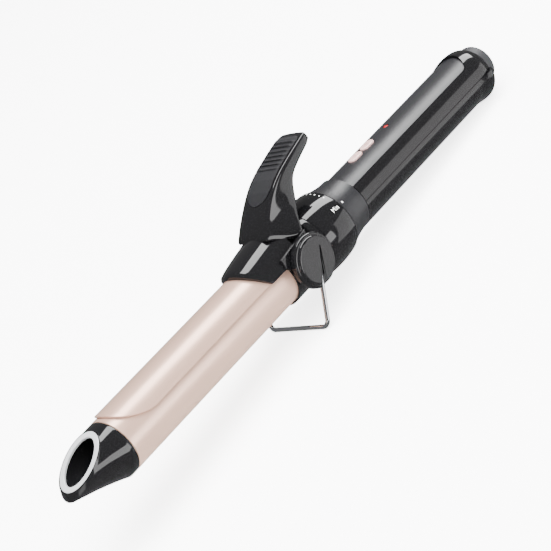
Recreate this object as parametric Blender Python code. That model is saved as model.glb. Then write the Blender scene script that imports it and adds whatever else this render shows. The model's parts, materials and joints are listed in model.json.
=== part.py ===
"""Curling iron: heated barrel with a spring clamp, wire stand, temperature dial and two buttons.

The iron is drawn in millimetres along X, with the cool tip at -X and the handle at +X, and its
axis on the line Y = Z = 0. The face where the cool tip meets the barrel is X = 0. One empty then
carries all pieces: it tilts the iron until the stand's foot and the handle's heel share a floor.
"""
import math

import bmesh
import bpy
from mathutils import Matrix, Vector

MM = 0.001
GAP = 0.3                      # clearance between pieces that touch
TURN_STEPS = 40                # sides of a large turned piece
SMALL_STEPS = 20               # sides of a small turned piece

# Barrel and cool tip
BARREL_DIAMETER = 25.0
BARREL_WALL = 1.0
BARREL_LENGTH = 108.0          # from the cool tip to the collar
BARREL_TUCK = 12.0             # length of tube held inside the collar
TIP_FACE_TILT = 25.8           # degrees between the oblique face and the iron's axis
TIP_FACE_HALF_LENGTH = 13.1
TIP_FACE_HALF_WIDTH = 10.2
TIP_FACE_BACK = 16.3           # face centre in front of the barrel
TIP_FACE_RISE = 6.5            # face centre above the axis
TIP_LIP = 2.5                  # depth of the lip under the oblique face
TIP_NOSE = 3.0                 # how far that lip runs ahead of the face
TIP_BAND = 3.6                 # straight band behind the underside's kink
TIP_PLUG = 8.0                 # spigot inside the barrel
TIP_RIM_WIDTH = 2.1
TIP_RIM_THICK = 0.8
TIP_EDGE = 0.7                 # black edge left around the rim

# Clamp
CLIP_THICK = 0.8
CLIP_FRONT = 2.0               # front edge behind the cool tip
CLIP_EDGE_ANGLE = 66.0         # half the clip's arc, degrees from the top
CLIP_FRONT_SLANT = 1.15        # how far the front edge sweeps back per mm of drop
SADDLE_FRONT = 19.0            # from the saddle's front rim to the collar
SADDLE_SWEEP = 7.5             # sweep of that rim from the top to the side
SADDLE_WALL = 1.5
SADDLE_REAR = 8.0              # saddle behind the collar's front
SADDLE_RISE = 4.6              # how far its top climbs into the lever
CLAMP_OPENING = 13.0           # degrees that the clamp swings open
HINGE_BACK = 9.0               # hinge axis behind the collar's front
HINGE_RISE = 3.0
WING_THICK = 1.3
WING_END_RADIUS = 5.2
LEVER_WALL = 2.2
LEVER_HALF_WIDTH = 8.5
PIN_RADIUS = 1.8
SPRING_WIRE = 0.9
SPRING_COIL_RADIUS = 2.4
SPRING_TURNS = 3.25
SPRING_LEG = 5.0
PAD_HALF_WIDTH = 6.6
PAD_THICK = 1.4
PAD_RECESS = 1.0
RIVET_BACKS = (13.0, 8.0)      # rivets in front of the collar
RIVET_SHANK_RADIUS = 1.5

# Housing, dial and neck
COLLAR_LENGTH = 23.0
COLLAR_WALL = 1.1              # collar outside the barrel
FLANGE_LENGTH = 4.0
FLANGE_DROP = 0.3              # flange inside the dial's radius
DIAL_DIAMETER = 33.4
DIAL_WIDTH = 17.6
HUB_DIAMETER = 26.0
DIAL_EDGE_DROP = 1.2           # neck's front inside the dial's radius
NECK_LENGTH = 13.6
NECK_BORE_RADIUS = 9.0

# Ears and stand
EAR_RADIUS = 11.8
EAR_THICK = 4.0
EAR_SKIN = 0.9                 # outer wall over the stand's pocket
EAR_BACK = 10.4                # ear centre behind the collar's front
EAR_RISE = 1.0
STAND_WIRE = 2.0
STAND_REACH = 34.0             # from the stand's pivot to its foot
STAND_LEAN = 28.0              # degrees from square to the axis, foot towards the tip
STAND_PIVOT_BACK = 15.2
STAND_PIVOT_RISE = 5.2
STAND_FOLD = 70.0              # degrees of swing that the ears leave room for
STAND_BEND = 3.0               # radius of the wire's corners
LEG_REACH = 24.0               # length of leg that lies within an ear
SLOT_HALF_WIDTHS = (0.7, 2.6)  # slot that shows the leg, at the pivot and at its foot

# Handle
HANDLE_DIAMETER = 26.2
HANDLE_LENGTH = 108.6
HANDLE_WALL = 2.0
HEEL_RISE = 1.1                # flare of the heel below the rear end
HEEL_FLAT = 0.35               # depth of the flat that the heel rests on
HEEL_LENGTH = 13.0
HEEL_BACK = 4.0                # resting line in front of the rear end
END_ROUND = 7.0
PANEL_HALF_WIDTH = 10.2
PANEL_CROWN_DROP = 1.3         # crown below the handle's own radius
PANEL_THICK = 1.4
PANEL_LENGTH = 100.0
PANEL_NOSE = 8.0               # length of its round rear end
CROWN_WALL = 1.5               # shell left under the panel
BUTTON_LENGTH = 8.2
BUTTON_WIDTH = 4.6
BUTTON_PITCH = 9.3
BUTTON_START = 18.7            # first button behind the handle's front
BUTTON_PROUD = 0.7
BUTTON_FLANGE = 0.8            # rim that keeps a button in
BUTTON_TRAVEL = 0.6
LENS_BACK = 43.5
LENS_RADIUS = 1.1
BOARD_LENGTH = 70.0
BOARD_WIDTH = 16.0
BOARD_THICK = 1.6
BOARD_RISE = 2.0
SWITCH_SIZE = 4.5
HEATER_HALF_HEIGHT = 3.2
FUSE_RADIUS = 1.8
FUSE_LENGTH = 12.0
BOSS_RADIUS = 8.7
BOSS_LENGTH = 5.6
BOSS_STEM_RADIUS = 6.6
CORD_HOLE_RADIUS = 3.2
SCREW_RADIUS = 2.4
SCREW_BACKS = (16.0, 72.0)     # screws behind the handle's front
WIDE = 30.0                    # half the width of a cutter that spans the iron

# Values that follow from the sizes above
BARREL_R = BARREL_DIAMETER / 2
CLIP_IN = BARREL_R + GAP
CLIP_OUT = CLIP_IN + CLIP_THICK
SADDLE_IN = CLIP_OUT + GAP
SADDLE_OUT = SADDLE_IN + SADDLE_WALL
COLLAR_R = BARREL_R + COLLAR_WALL
WING_IN = SADDLE_IN + 0.1
WING_OUT = WING_IN + WING_THICK
EAR_IN = WING_OUT + GAP
EAR_OUT = EAR_IN + EAR_THICK
COLLAR_X = BARREL_LENGTH
COLLAR_END_X = COLLAR_X + COLLAR_LENGTH
DIAL_X = COLLAR_END_X + GAP
DIAL_END_X = DIAL_X + DIAL_WIDTH
DIAL_R = DIAL_DIAMETER / 2
HUB_R = HUB_DIAMETER / 2
NECK_X = DIAL_END_X + GAP
HANDLE_X = NECK_X + NECK_LENGTH + GAP
HANDLE_R = HANDLE_DIAMETER / 2
HANDLE_END_X = HANDLE_X + HANDLE_LENGTH
HANDLE_IN = HANDLE_R - HANDLE_WALL
HANDLE_WALL_X = HANDLE_END_X - HANDLE_WALL
FLANGE_R = DIAL_R - FLANGE_DROP
FLANGE_X = COLLAR_END_X - FLANGE_LENGTH
BOARD_TOP = BOARD_RISE + BOARD_THICK
HEEL = Vector((HANDLE_END_X - HEEL_BACK, 0.0, -(HANDLE_R + HEEL_RISE - HEEL_FLAT)))
HINGE = Vector((COLLAR_X + HINGE_BACK, 0.0, HINGE_RISE))
EAR = Vector((COLLAR_X + EAR_BACK, 0.0, EAR_RISE))
STAND_PIVOT = Vector((COLLAR_X + STAND_PIVOT_BACK, 0.0, STAND_PIVOT_RISE))
STAND_R = STAND_WIRE / 2
LEG_Y = EAR_OUT - EAR_SKIN - 0.2 - STAND_R
LEAN_ANGLE = 270.0 - STAND_LEAN
PANEL_CROWN = HANDLE_R - PANEL_CROWN_DROP
PANEL_EDGE_Z = math.sqrt(HANDLE_R**2 - PANEL_HALF_WIDTH**2) - 0.2
BUTTON_FLANGE_TOP = PANEL_CROWN - PANEL_THICK - GAP - CROWN_WALL - 1.0
TIP_TILT = math.radians(TIP_FACE_TILT)
FACE_DIR = Vector((math.cos(TIP_TILT), 0.0, math.sin(TIP_TILT)))
FACE_NORMAL = Vector((-FACE_DIR.z, 0.0, FACE_DIR.x))
FACE_CENTRE = Vector((-TIP_FACE_BACK, 0.0, TIP_FACE_RISE))

# Lever: top and under outlines, mm behind the collar's front and above the clip, with half widths
LEVER_STATIONS = (
    ((0.0, 4.9), (15.0, -4.2), 9.6, WING_OUT - 0.2),
    ((3.0, 8.2), (17.0, 0.4), 8.9, 14.4),
    ((6.5, 11.6), (20.4, 4.6), 8.6, 12.0),
    ((11.3, 15.2), (25.2, 8.8), LEVER_HALF_WIDTH, 10.0),
    ((16.5, 18.7), (28.0, 12.6), LEVER_HALF_WIDTH, 8.9),
    ((22.0, 21.4), (30.9, 16.4), LEVER_HALF_WIDTH, LEVER_HALF_WIDTH),
    ((28.5, 23.5), (34.5, 18.4), LEVER_HALF_WIDTH, LEVER_HALF_WIDTH),
    ((38.0, 25.6), (41.0, 20.7), LEVER_HALF_WIDTH, LEVER_HALF_WIDTH),
    ((47.2, 27.4), (47.4, 22.4), 8.2, 8.2),
    ((48.8, 27.2), (48.9, 23.4), 7.2, 7.2),
)
PAD_STATIONS = LEVER_STATIONS[4:9]

# Colour, roughness and metallic value of each finish
FINISHES = {
    "gloss_black": ((0.012, 0.012, 0.013), 0.16, 0.0),
    "satin_black": ((0.02, 0.02, 0.022), 0.45, 0.0),
    "matte_grey": ((0.045, 0.046, 0.05), 0.7, 0.0),
    "rose_metal": ((0.66, 0.55, 0.5), 0.3, 0.9),
    "silver": ((0.72, 0.73, 0.74), 0.3, 0.9),
    "chrome": ((0.62, 0.62, 0.62), 0.12, 1.0),
    "steel": ((0.55, 0.55, 0.56), 0.35, 1.0),
    "button_rose": ((0.62, 0.42, 0.4), 0.4, 0.1),
    "lens_red": ((0.5, 0.02, 0.02), 0.2, 0.0),
    "board_green": ((0.02, 0.14, 0.06), 0.5, 0.0),
    "sensor_blue": ((0.03, 0.07, 0.2), 0.5, 0.0),
    "ceramic": ((0.8, 0.78, 0.74), 0.6, 0.0),
}


def make_collection(name):
    collection = bpy.data.collections.new(name)
    bpy.context.scene.collection.children.link(collection)
    return collection


def make_material(name, colour, roughness, metallic):
    material = bpy.data.materials.new(name)
    material.use_nodes = True
    shader = material.node_tree.nodes["Principled BSDF"]
    shader.inputs["Base Color"].default_value = (*colour, 1.0)
    shader.inputs["Roughness"].default_value = roughness
    shader.inputs["Metallic"].default_value = metallic
    return material


def place(obj, collection, parent):
    """Links an object drawn in the iron's own frame under an empty of that frame."""
    for old in list(obj.users_collection):
        old.objects.unlink(obj)
    collection.objects.link(obj)
    if parent is not None:
        obj.parent = parent
        shift = parent.location if parent.parent is not None else Vector()
        obj.matrix_parent_inverse = Matrix.Translation(-shift)


def object_from(name, mesh_builder):
    """Makes an object from a bmesh in millimetres."""
    bmesh.ops.recalc_face_normals(mesh_builder, faces=mesh_builder.faces)
    if mesh_builder.calc_volume(signed=True) < 0.0:
        bmesh.ops.reverse_faces(mesh_builder, faces=mesh_builder.faces)
    bmesh.ops.scale(mesh_builder, vec=(MM, MM, MM), verts=mesh_builder.verts)
    mesh = bpy.data.meshes.new(name)
    mesh_builder.to_mesh(mesh)
    mesh_builder.free()
    return bpy.data.objects.new(name, mesh)


def smooth(obj, angle=35.0):
    obj.data.shade_smooth()
    obj.data.set_sharp_from_angle(angle=math.radians(angle))


def turned(name, profile, steps=TURN_STEPS, axis="X", centre=(0.0, 0.0, 0.0)):
    """A solid turned round a line along X, Y or Z through centre; profile holds (along, radius)."""
    builder = bmesh.new()
    for along, radius in profile:
        builder.verts.new((radius, 0.0, along))
    builder.verts.ensure_lookup_table()
    count = len(profile)
    for index in range(count):
        after = (index + 1) % count
        if profile[index][1] > 0.0 or profile[after][1] > 0.0:
            builder.edges.new((builder.verts[index], builder.verts[after]))
    bmesh.ops.spin(builder, geom=builder.verts[:] + builder.edges[:], axis=(0, 0, 1), cent=(0, 0, 0),
                   angle=math.tau, steps=steps, use_merge=True)
    bmesh.ops.remove_doubles(builder, verts=builder.verts, dist=0.001)
    lay = {"X": Matrix.Rotation(math.pi / 2, 3, "Y"), "Y": Matrix.Rotation(-math.pi / 2, 3, "X"),
           "Z": Matrix.Identity(3)}[axis]
    bmesh.ops.transform(builder, matrix=Matrix.Translation(centre) @ lay.to_4x4(), verts=builder.verts)
    obj = object_from(name, builder)
    smooth(obj)
    return obj


def box(name, low, high):
    builder = bmesh.new()
    bmesh.ops.create_cube(builder, size=1.0)
    low, high = Vector(low), Vector(high)
    bmesh.ops.scale(builder, vec=high - low, verts=builder.verts)
    bmesh.ops.translate(builder, vec=(low + high) / 2, verts=builder.verts)
    return object_from(name, builder)


def prism(name, outline, low, high, axis="Y"):
    """Extrudes an outline: (x, z) points along Y, (x, y) points along Z or (y, z) points along X."""
    builder = bmesh.new()
    if axis == "Y":
        corners = [(x, low, z) for x, z in outline]
        step = Vector((0.0, high - low, 0.0))
    elif axis == "Z":
        corners = [(x, y, low) for x, y in outline]
        step = Vector((0.0, 0.0, high - low))
    else:
        corners = [(low, y, z) for y, z in outline]
        step = Vector((high - low, 0.0, 0.0))
    face = builder.faces.new([builder.verts.new(corner) for corner in corners])
    grown = bmesh.ops.extrude_face_region(builder, geom=[face])["geom"]
    moved = [item for item in grown if isinstance(item, bmesh.types.BMVert)]
    bmesh.ops.translate(builder, vec=step, verts=moved)
    bmesh.ops.triangulate(builder, faces=builder.faces)
    obj = object_from(name, builder)
    smooth(obj)
    return obj


def loft(name, sections):
    """Skins a row of closed sections that have the same number of points, and caps both ends."""
    builder = bmesh.new()
    rings = [[builder.verts.new(point) for point in section] for section in sections]
    count = len(rings[0])
    for near, far in zip(rings, rings[1:]):
        for index in range(count):
            after = (index + 1) % count
            builder.faces.new((near[index], near[after], far[after], far[index]))
    builder.faces.new(rings[0])
    builder.faces.new(rings[-1])
    bmesh.ops.triangulate(builder, faces=builder.faces)
    obj = object_from(name, builder)
    smooth(obj)
    return obj


def hull(name, points):
    """The convex solid round a set of points."""
    builder = bmesh.new()
    for point in points:
        builder.verts.new(point)
    result = bmesh.ops.convex_hull(builder, input=builder.verts)
    loose = [item for item in result["geom_interior"] if isinstance(item, bmesh.types.BMVert)]
    bmesh.ops.delete(builder, geom=loose, context="VERTS")
    obj = object_from(name, builder)
    smooth(obj)
    return obj


def wire(name, route, radius, resolution=2):
    """A round wire along a row of points, as a mesh with welded caps."""
    curve = bpy.data.curves.new(name + "_path", "CURVE")
    curve.dimensions = "3D"
    curve.bevel_depth = radius * MM
    curve.bevel_resolution = resolution
    curve.use_fill_caps = True
    spline = curve.splines.new("POLY")
    spline.points.add(len(route) - 1)
    for point, place_mm in zip(spline.points, route):
        point.co = (*(Vector(place_mm) * MM), 1.0)
    guide = bpy.data.objects.new(name + "_path", curve)
    bpy.context.scene.collection.objects.link(guide)
    bpy.context.view_layer.update()
    mesh = bpy.data.meshes.new_from_object(guide.evaluated_get(bpy.context.evaluated_depsgraph_get()))
    bpy.data.objects.remove(guide)
    builder = bmesh.new()
    builder.from_mesh(mesh)
    bmesh.ops.remove_doubles(builder, verts=builder.verts, dist=0.00001)
    bmesh.ops.recalc_face_normals(builder, faces=builder.faces)
    builder.to_mesh(mesh)
    builder.free()
    mesh.name = name
    obj = bpy.data.objects.new(name, mesh)
    smooth(obj)
    return obj


def arc_points(centre, radius, start, end, count):
    """Points on an arc, angles in degrees from the outline's first axis."""
    points = []
    for index in range(count):
        angle = math.radians(start + (end - start) * index / (count - 1))
        points.append((centre[0] + radius * math.cos(angle), centre[1] + radius * math.sin(angle)))
    return points


def oval(centre_x, length, width, count=10):
    """A stadium outline in X and Y, its long side along X."""
    reach = (length - width) / 2
    return (arc_points((centre_x + reach, 0.0), width / 2, -90.0, 90.0, count)
            + arc_points((centre_x - reach, 0.0), width / 2, 90.0, 270.0, count))


def combine(target, tool, operation, tools):
    """Adds a Boolean; the tool piece goes under the same parent, in the cutters' collection."""
    place(tool, tools, bpy.data.objects["iron"])
    tool.hide_render = True
    tool.display_type = "WIRE"
    modifier = target.modifiers.new(tool.name, "BOOLEAN")
    modifier.operation = operation
    modifier.object = tool
    modifier.solver = "EXACT"


def share_cutter(target, cutter):
    """Cuts a second piece with a cutter that already stands in the cutters' collection."""
    modifier = target.modifiers.new(cutter.name, "BOOLEAN")
    modifier.operation = "DIFFERENCE"
    modifier.object = cutter
    modifier.solver = "EXACT"


def face_ellipse(half_length, half_width, out=0.0, count=32):
    """An ellipse in the cool tip's oblique face, moved out of the face by a distance."""
    points = []
    for index in range(count):
        angle = math.tau * index / count
        points.append(FACE_CENTRE + FACE_DIR * (half_length * math.cos(angle))
                      + Vector((0.0, half_width * math.sin(angle), 0.0)) + FACE_NORMAL * out)
    return points


def ring_points(x, radius, count=32):
    """A circle square to the iron's axis."""
    turns = [math.tau * index / count for index in range(count)]
    return [Vector((x, radius * math.sin(turn), radius * math.cos(turn))) for turn in turns]


def build_tip(tools, iron):
    band = [point for point in ring_points(-TIP_BAND, BARREL_R) if point.z < 0.1]
    lip = [point - FACE_DIR * TIP_NOSE
           for point in face_ellipse(TIP_FACE_HALF_LENGTH * 0.97, TIP_FACE_HALF_WIDTH * 0.95, -TIP_LIP)]
    tip = hull("cool_tip", ring_points(-GAP / 2, BARREL_R) + band + lip
               + face_ellipse(TIP_FACE_HALF_LENGTH, TIP_FACE_HALF_WIDTH))
    seat_length = TIP_FACE_HALF_LENGTH - TIP_EDGE
    seat_width = TIP_FACE_HALF_WIDTH - TIP_EDGE
    seat = hull("tip_rim_seat", face_ellipse(seat_length, seat_width, 2.0)
                + face_ellipse(seat_length, seat_width, -TIP_RIM_THICK - GAP))
    combine(tip, seat, "DIFFERENCE", tools)
    hole_length = seat_length - TIP_RIM_WIDTH
    hole_width = seat_width - TIP_RIM_WIDTH
    hollow = hull("tip_hollow", face_ellipse(hole_length, hole_width, 2.0)
                  + face_ellipse(hole_length, hole_width) + ring_points(-3.5, BARREL_R - 3.8))
    combine(tip, hollow, "DIFFERENCE", tools)
    plug_r = BARREL_R - BARREL_WALL - GAP
    plug = turned("tip_plug", [(-2.0, 0.0), (TIP_PLUG, 0.0), (TIP_PLUG, plug_r), (-2.0, plug_r)])
    combine(tip, plug, "UNION", tools)
    rim = loft("tip_rim", [
        face_ellipse(seat_length - GAP, seat_width - GAP, -TIP_RIM_THICK),
        face_ellipse(seat_length - GAP, seat_width - GAP, 0.0),
    ])
    rim_hole = hull("tip_rim_hole", face_ellipse(hole_length, hole_width, 2.0)
                    + face_ellipse(hole_length, hole_width, -2.0))
    combine(rim, rim_hole, "DIFFERENCE", tools)
    return [(tip, iron, "gloss_black"), (rim, iron, "silver")]


def build_barrel(tools, iron):
    inner = BARREL_R - BARREL_WALL
    start, end = GAP / 2, BARREL_LENGTH + BARREL_TUCK
    tube = turned("barrel_tube", [(start, BARREL_R), (start, inner), (end, inner), (end, BARREL_R)])
    half_height = HEATER_HALF_HEIGHT
    reach = math.sqrt((inner - GAP) ** 2 - half_height**2)
    core_start, core_end = TIP_PLUG + 6.0, BARREL_LENGTH - 6.0
    core = box("ceramic_heater", (core_start, -reach, -half_height), (core_end, reach, half_height))
    fuse_start = core_start + 10.0
    fuse_end = fuse_start + FUSE_LENGTH
    fuse_profile = [(fuse_start, 0.0), (fuse_end, 0.0), (fuse_end, FUSE_RADIUS), (fuse_start, FUSE_RADIUS)]
    fuse = turned("thermal_fuse", fuse_profile, SMALL_STEPS, centre=(0.0, 0.0, half_height + GAP + FUSE_RADIUS))
    return [(tube, iron, "rose_metal"), (core, iron, "ceramic"), (fuse, iron, "ceramic")]


def saddle_section(share):
    """A section of the saddle; share runs from 0 at the slanted front rim to 1 at the rear."""
    count = 15
    limit = CLIP_EDGE_ANGLE + 2.0
    rise = SADDLE_RISE * min(1.0, share * 1.15) ** 0.6
    outer, inner = [], []
    for index in range(count):
        angle = math.radians(-limit + 2 * limit * index / (count - 1))
        sweep = SADDLE_SWEEP * (1 - math.cos(angle)) / (1 - math.cos(math.radians(limit)))
        front = COLLAR_X - SADDLE_FRONT + sweep
        x = front + (COLLAR_X + SADDLE_REAR - front) * share
        wall = SADDLE_WALL * (0.75 if share == 0 else 1.0)
        radius = SADDLE_IN + wall + rise * math.cos(angle) ** 2
        outer.append((x, radius * math.sin(angle), radius * math.cos(angle)))
        inner.append((x, SADDLE_IN * math.sin(angle), SADDLE_IN * math.cos(angle)))
    return outer + inner[::-1]


def lever_section(station, inset=0.0, deepen=0.0):
    """A section of the lever, square to its length; inset shrinks it and deepen opens its underside."""
    (top_x, top_z), (under_x, under_z), top_half, under_half = station
    top = Vector((COLLAR_X + top_x, 0.0, CLIP_OUT + top_z))
    under = Vector((COLLAR_X + under_x, 0.0, CLIP_OUT + under_z))
    along = (top - under).normalized()
    top = top - along * inset
    under = under - along * deepen
    top_half, under_half = top_half - inset, under_half - inset
    round_off = 1.6
    mid_half = top_half + (under_half - top_half) * 0.35
    halves = ((under, under_half), (under + (top - under) * 0.45, mid_half),
              (top - along * round_off, top_half), (top - along * 0.35, top_half - 0.9),
              (top, top_half - round_off - 0.8))
    right = [middle + Vector((0.0, -half, 0.0)) for middle, half in halves]
    left = [middle + Vector((0.0, half, 0.0)) for middle, half in halves]
    return right + left[::-1]


def pad_section(station, low, high, half):
    """A flat section on the lever's top: low and high are heights over the top outline."""
    (top_x, top_z), (under_x, under_z), _, _ = station
    top = Vector((COLLAR_X + top_x, 0.0, CLIP_OUT + top_z))
    along = (top - Vector((COLLAR_X + under_x, 0.0, CLIP_OUT + under_z))).normalized()
    side = Vector((0.0, half, 0.0))
    foot, head = top + along * low, top + along * high
    return [foot - side, foot + side, head + side, head - side]


def pad_halves(extra):
    """Half widths of the tongue shaped pad along its stations."""
    return [PAD_HALF_WIDTH * share + extra for share in (0.62, 0.92, 1.0, 1.0, 0.96)]


def build_clip(tools):
    """The rolled clip plate with its slanted front edge."""
    front = CLIP_FRONT - CLIP_OUT
    rear = COLLAR_X - 5.0
    clip = turned("clip_plate", [(front, CLIP_OUT), (front, CLIP_IN), (rear, CLIP_IN), (rear, CLIP_OUT)])
    drop = CLIP_OUT * math.cos(math.radians(CLIP_EDGE_ANGLE))
    underside = box("clip_underside", (front - 1.0, -WIDE, -WIDE), (rear + 1.0, WIDE, drop))
    combine(clip, underside, "DIFFERENCE", tools)
    reach = 40.0
    slant = prism("clip_front_cut", [(CLIP_FRONT - CLIP_FRONT_SLANT * (reach - CLIP_OUT), reach),
                                     (CLIP_FRONT + CLIP_FRONT_SLANT * CLIP_OUT, 0.0),
                                     (CLIP_FRONT - 2 * WIDE, 0.0), (CLIP_FRONT - 2 * WIDE, reach)], -WIDE, WIDE)
    combine(clip, slant, "DIFFERENCE", tools)
    return clip


def swing_relief():
    """Room that the collar and its flange take under the lever when the clamp is fully open."""
    front, rim, skin = COLLAR_X - 6.0, FLANGE_R + GAP, COLLAR_R + GAP
    relief = turned("swing_relief", [(front, 0.0), (COLLAR_END_X, 0.0), (COLLAR_END_X, rim),
                                     (FLANGE_X - 2 * GAP, rim), (FLANGE_X - 2 * GAP, skin), (front, skin)])
    centre = Matrix.Translation(HINGE * MM)
    swing = Matrix.Rotation(math.radians(-CLAMP_OPENING), 4, "Y")
    relief.data.transform(centre @ swing @ centre.inverted())
    return relief


def build_lever(tools):
    """The hollow lever with its saddle and the two side plates that carry it on the hinge."""
    lever = loft("clamp_lever", [lever_section(station) for station in LEVER_STATIONS])
    saddle = loft("lever_saddle", [saddle_section(share) for share in (0.0, 0.04, 0.12, 0.3, 0.6, 1.0)])
    combine(lever, saddle, "UNION", tools)
    wing_outline = ([(COLLAR_X - 3.0, HINGE.z + 3.0), (HINGE.x - 4.6, HINGE.z - 2.4)]
                    + arc_points((HINGE.x, HINGE.z), WING_END_RADIUS, 225.0, 360.0, 8)
                    + [(COLLAR_X + 15.2, CLIP_OUT - 3.6), (COLLAR_X + 16.0, CLIP_OUT - 0.6),
                       (COLLAR_X - 3.0, CLIP_OUT - 3.0)])
    for side, word in ((-1.0, "right"), (1.0, "left")):
        low, high = sorted((side * (WING_IN + 0.02), side * (WING_OUT - 0.03)))
        combine(lever, prism("wing_" + word, wing_outline, low, high), "UNION", tools)
    trough = [lever_section(station, LEVER_WALL, 6.0) for station in LEVER_STATIONS[:8]]
    combine(lever, loft("lever_trough", trough), "DIFFERENCE", tools)
    bore = turned("saddle_bore", [(COLLAR_X - 40.0, 0.0), (COLLAR_X + 30.0, 0.0),
                                  (COLLAR_X + 30.0, SADDLE_IN), (COLLAR_X - 40.0, SADDLE_IN)], 64)
    combine(lever, bore, "DIFFERENCE", tools)
    hole_r = PIN_RADIUS + GAP
    pin_hole = turned("pin_hole", [(-WIDE, 0.0), (WIDE, 0.0), (WIDE, hole_r), (-WIDE, hole_r)],
                      SMALL_STEPS, "Y", HINGE)
    combine(lever, pin_hole, "DIFFERENCE", tools)
    combine(lever, swing_relief(), "DIFFERENCE", tools)
    return lever


def build_clamp(tools, hinge):
    clip, lever = build_clip(tools), build_lever(tools)
    rows = [(clip, hinge, "rose_metal"), (lever, hinge, "gloss_black")]
    for number, back in enumerate(RIVET_BACKS, 1):
        centre = (COLLAR_X - back, 0.0, 0.0)
        shank = RIVET_SHANK_RADIUS
        low, high = CLIP_IN + 0.1, CLIP_OUT + GAP + 0.9
        rivet = turned(f"clip_rivet_{number}", [(high, 0.0), (high, shank), (low, shank), (low, 0.0)],
                       SMALL_STEPS, "Z", centre)
        low, high, hole_r = CLIP_IN - 3.0, high + GAP, shank + GAP
        hole = turned(f"rivet_hole_{number}", [(high, 0.0), (high, hole_r), (low, hole_r), (low, 0.0)],
                      SMALL_STEPS, "Z", centre)
        combine(clip, hole, "DIFFERENCE", tools)
        share_cutter(lever, hole)
        rows.append((rivet, hinge, "steel"))
    recess = [pad_section(station, -PAD_RECESS - GAP, 6.0, half)
              for station, half in zip(PAD_STATIONS, pad_halves(GAP))]
    combine(lever, loft("pad_recess", recess), "DIFFERENCE", tools)
    pad = loft("lever_pad", [pad_section(station, -PAD_RECESS, PAD_THICK - PAD_RECESS, half)
                             for station, half in zip(PAD_STATIONS, pad_halves(0.0))])
    rows.append((pad, hinge, "matte_grey"))
    return rows


def along(point, degrees, distance):
    """The (x, z) point at a distance from another, in a direction of the XZ plane."""
    angle = math.radians(degrees)
    return (point[0] + distance * math.cos(angle), point[1] + distance * math.sin(angle))


def stand_pocket(clear):
    """Outline in X and Z swept by a leg of the stand, with a clearance round it."""
    pivot = (STAND_PIVOT.x, STAND_PIVOT.z)
    folded = LEAN_ANGLE + STAND_FOLD
    outline = arc_points(pivot, clear, LEAN_ANGLE - 90.0, folded + 90.0 - 360.0, 7)
    outline.append(along(along(pivot, folded, LEG_REACH), folded + 90.0, clear))
    outline.append(along(pivot, (LEAN_ANGLE + folded) / 2, LEG_REACH * 1.25))
    outline.append(along(along(pivot, LEAN_ANGLE, LEG_REACH), LEAN_ANGLE - 90.0, clear))
    return outline


def stand_slot():
    """Outline of the tapered slot that shows a leg from outside."""
    pivot = (STAND_PIVOT.x, STAND_PIVOT.z)
    foot = along(pivot, LEAN_ANGLE, LEG_REACH)
    top_half, foot_half = SLOT_HALF_WIDTHS
    return [along(pivot, LEAN_ANGLE - 90.0, top_half), along(foot, LEAN_ANGLE - 90.0, foot_half),
            along(foot, LEAN_ANGLE + 90.0, foot_half), along(pivot, LEAN_ANGLE + 90.0, top_half)]


def build_spring(iron):
    """The torsion spring between the collar and the lever: a coil across the iron with two legs."""
    wire_r = SPRING_WIRE / 2
    floor = COLLAR_R + GAP + wire_r
    centre = (COLLAR_X + SADDLE_REAR + GAP + SPRING_COIL_RADIUS + wire_r, floor + SPRING_COIL_RADIUS)
    half_span = SPRING_TURNS * (SPRING_WIRE + GAP) / 2
    steps_per_turn = 12
    count = round(SPRING_TURNS * steps_per_turn)
    route = [(centre[0] + SPRING_LEG * 0.7, -half_span, floor)]
    for step in range(count + 1):
        x, z = along(centre, 270.0 - 360.0 * step / steps_per_turn, SPRING_COIL_RADIUS)
        route.append((x, -half_span + 2 * half_span * step / count, z))
    route.append((route[-1][0], half_span, centre[1] + SPRING_LEG))
    return [(wire("clamp_spring", route, wire_r, 1), iron, "steel")]


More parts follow.
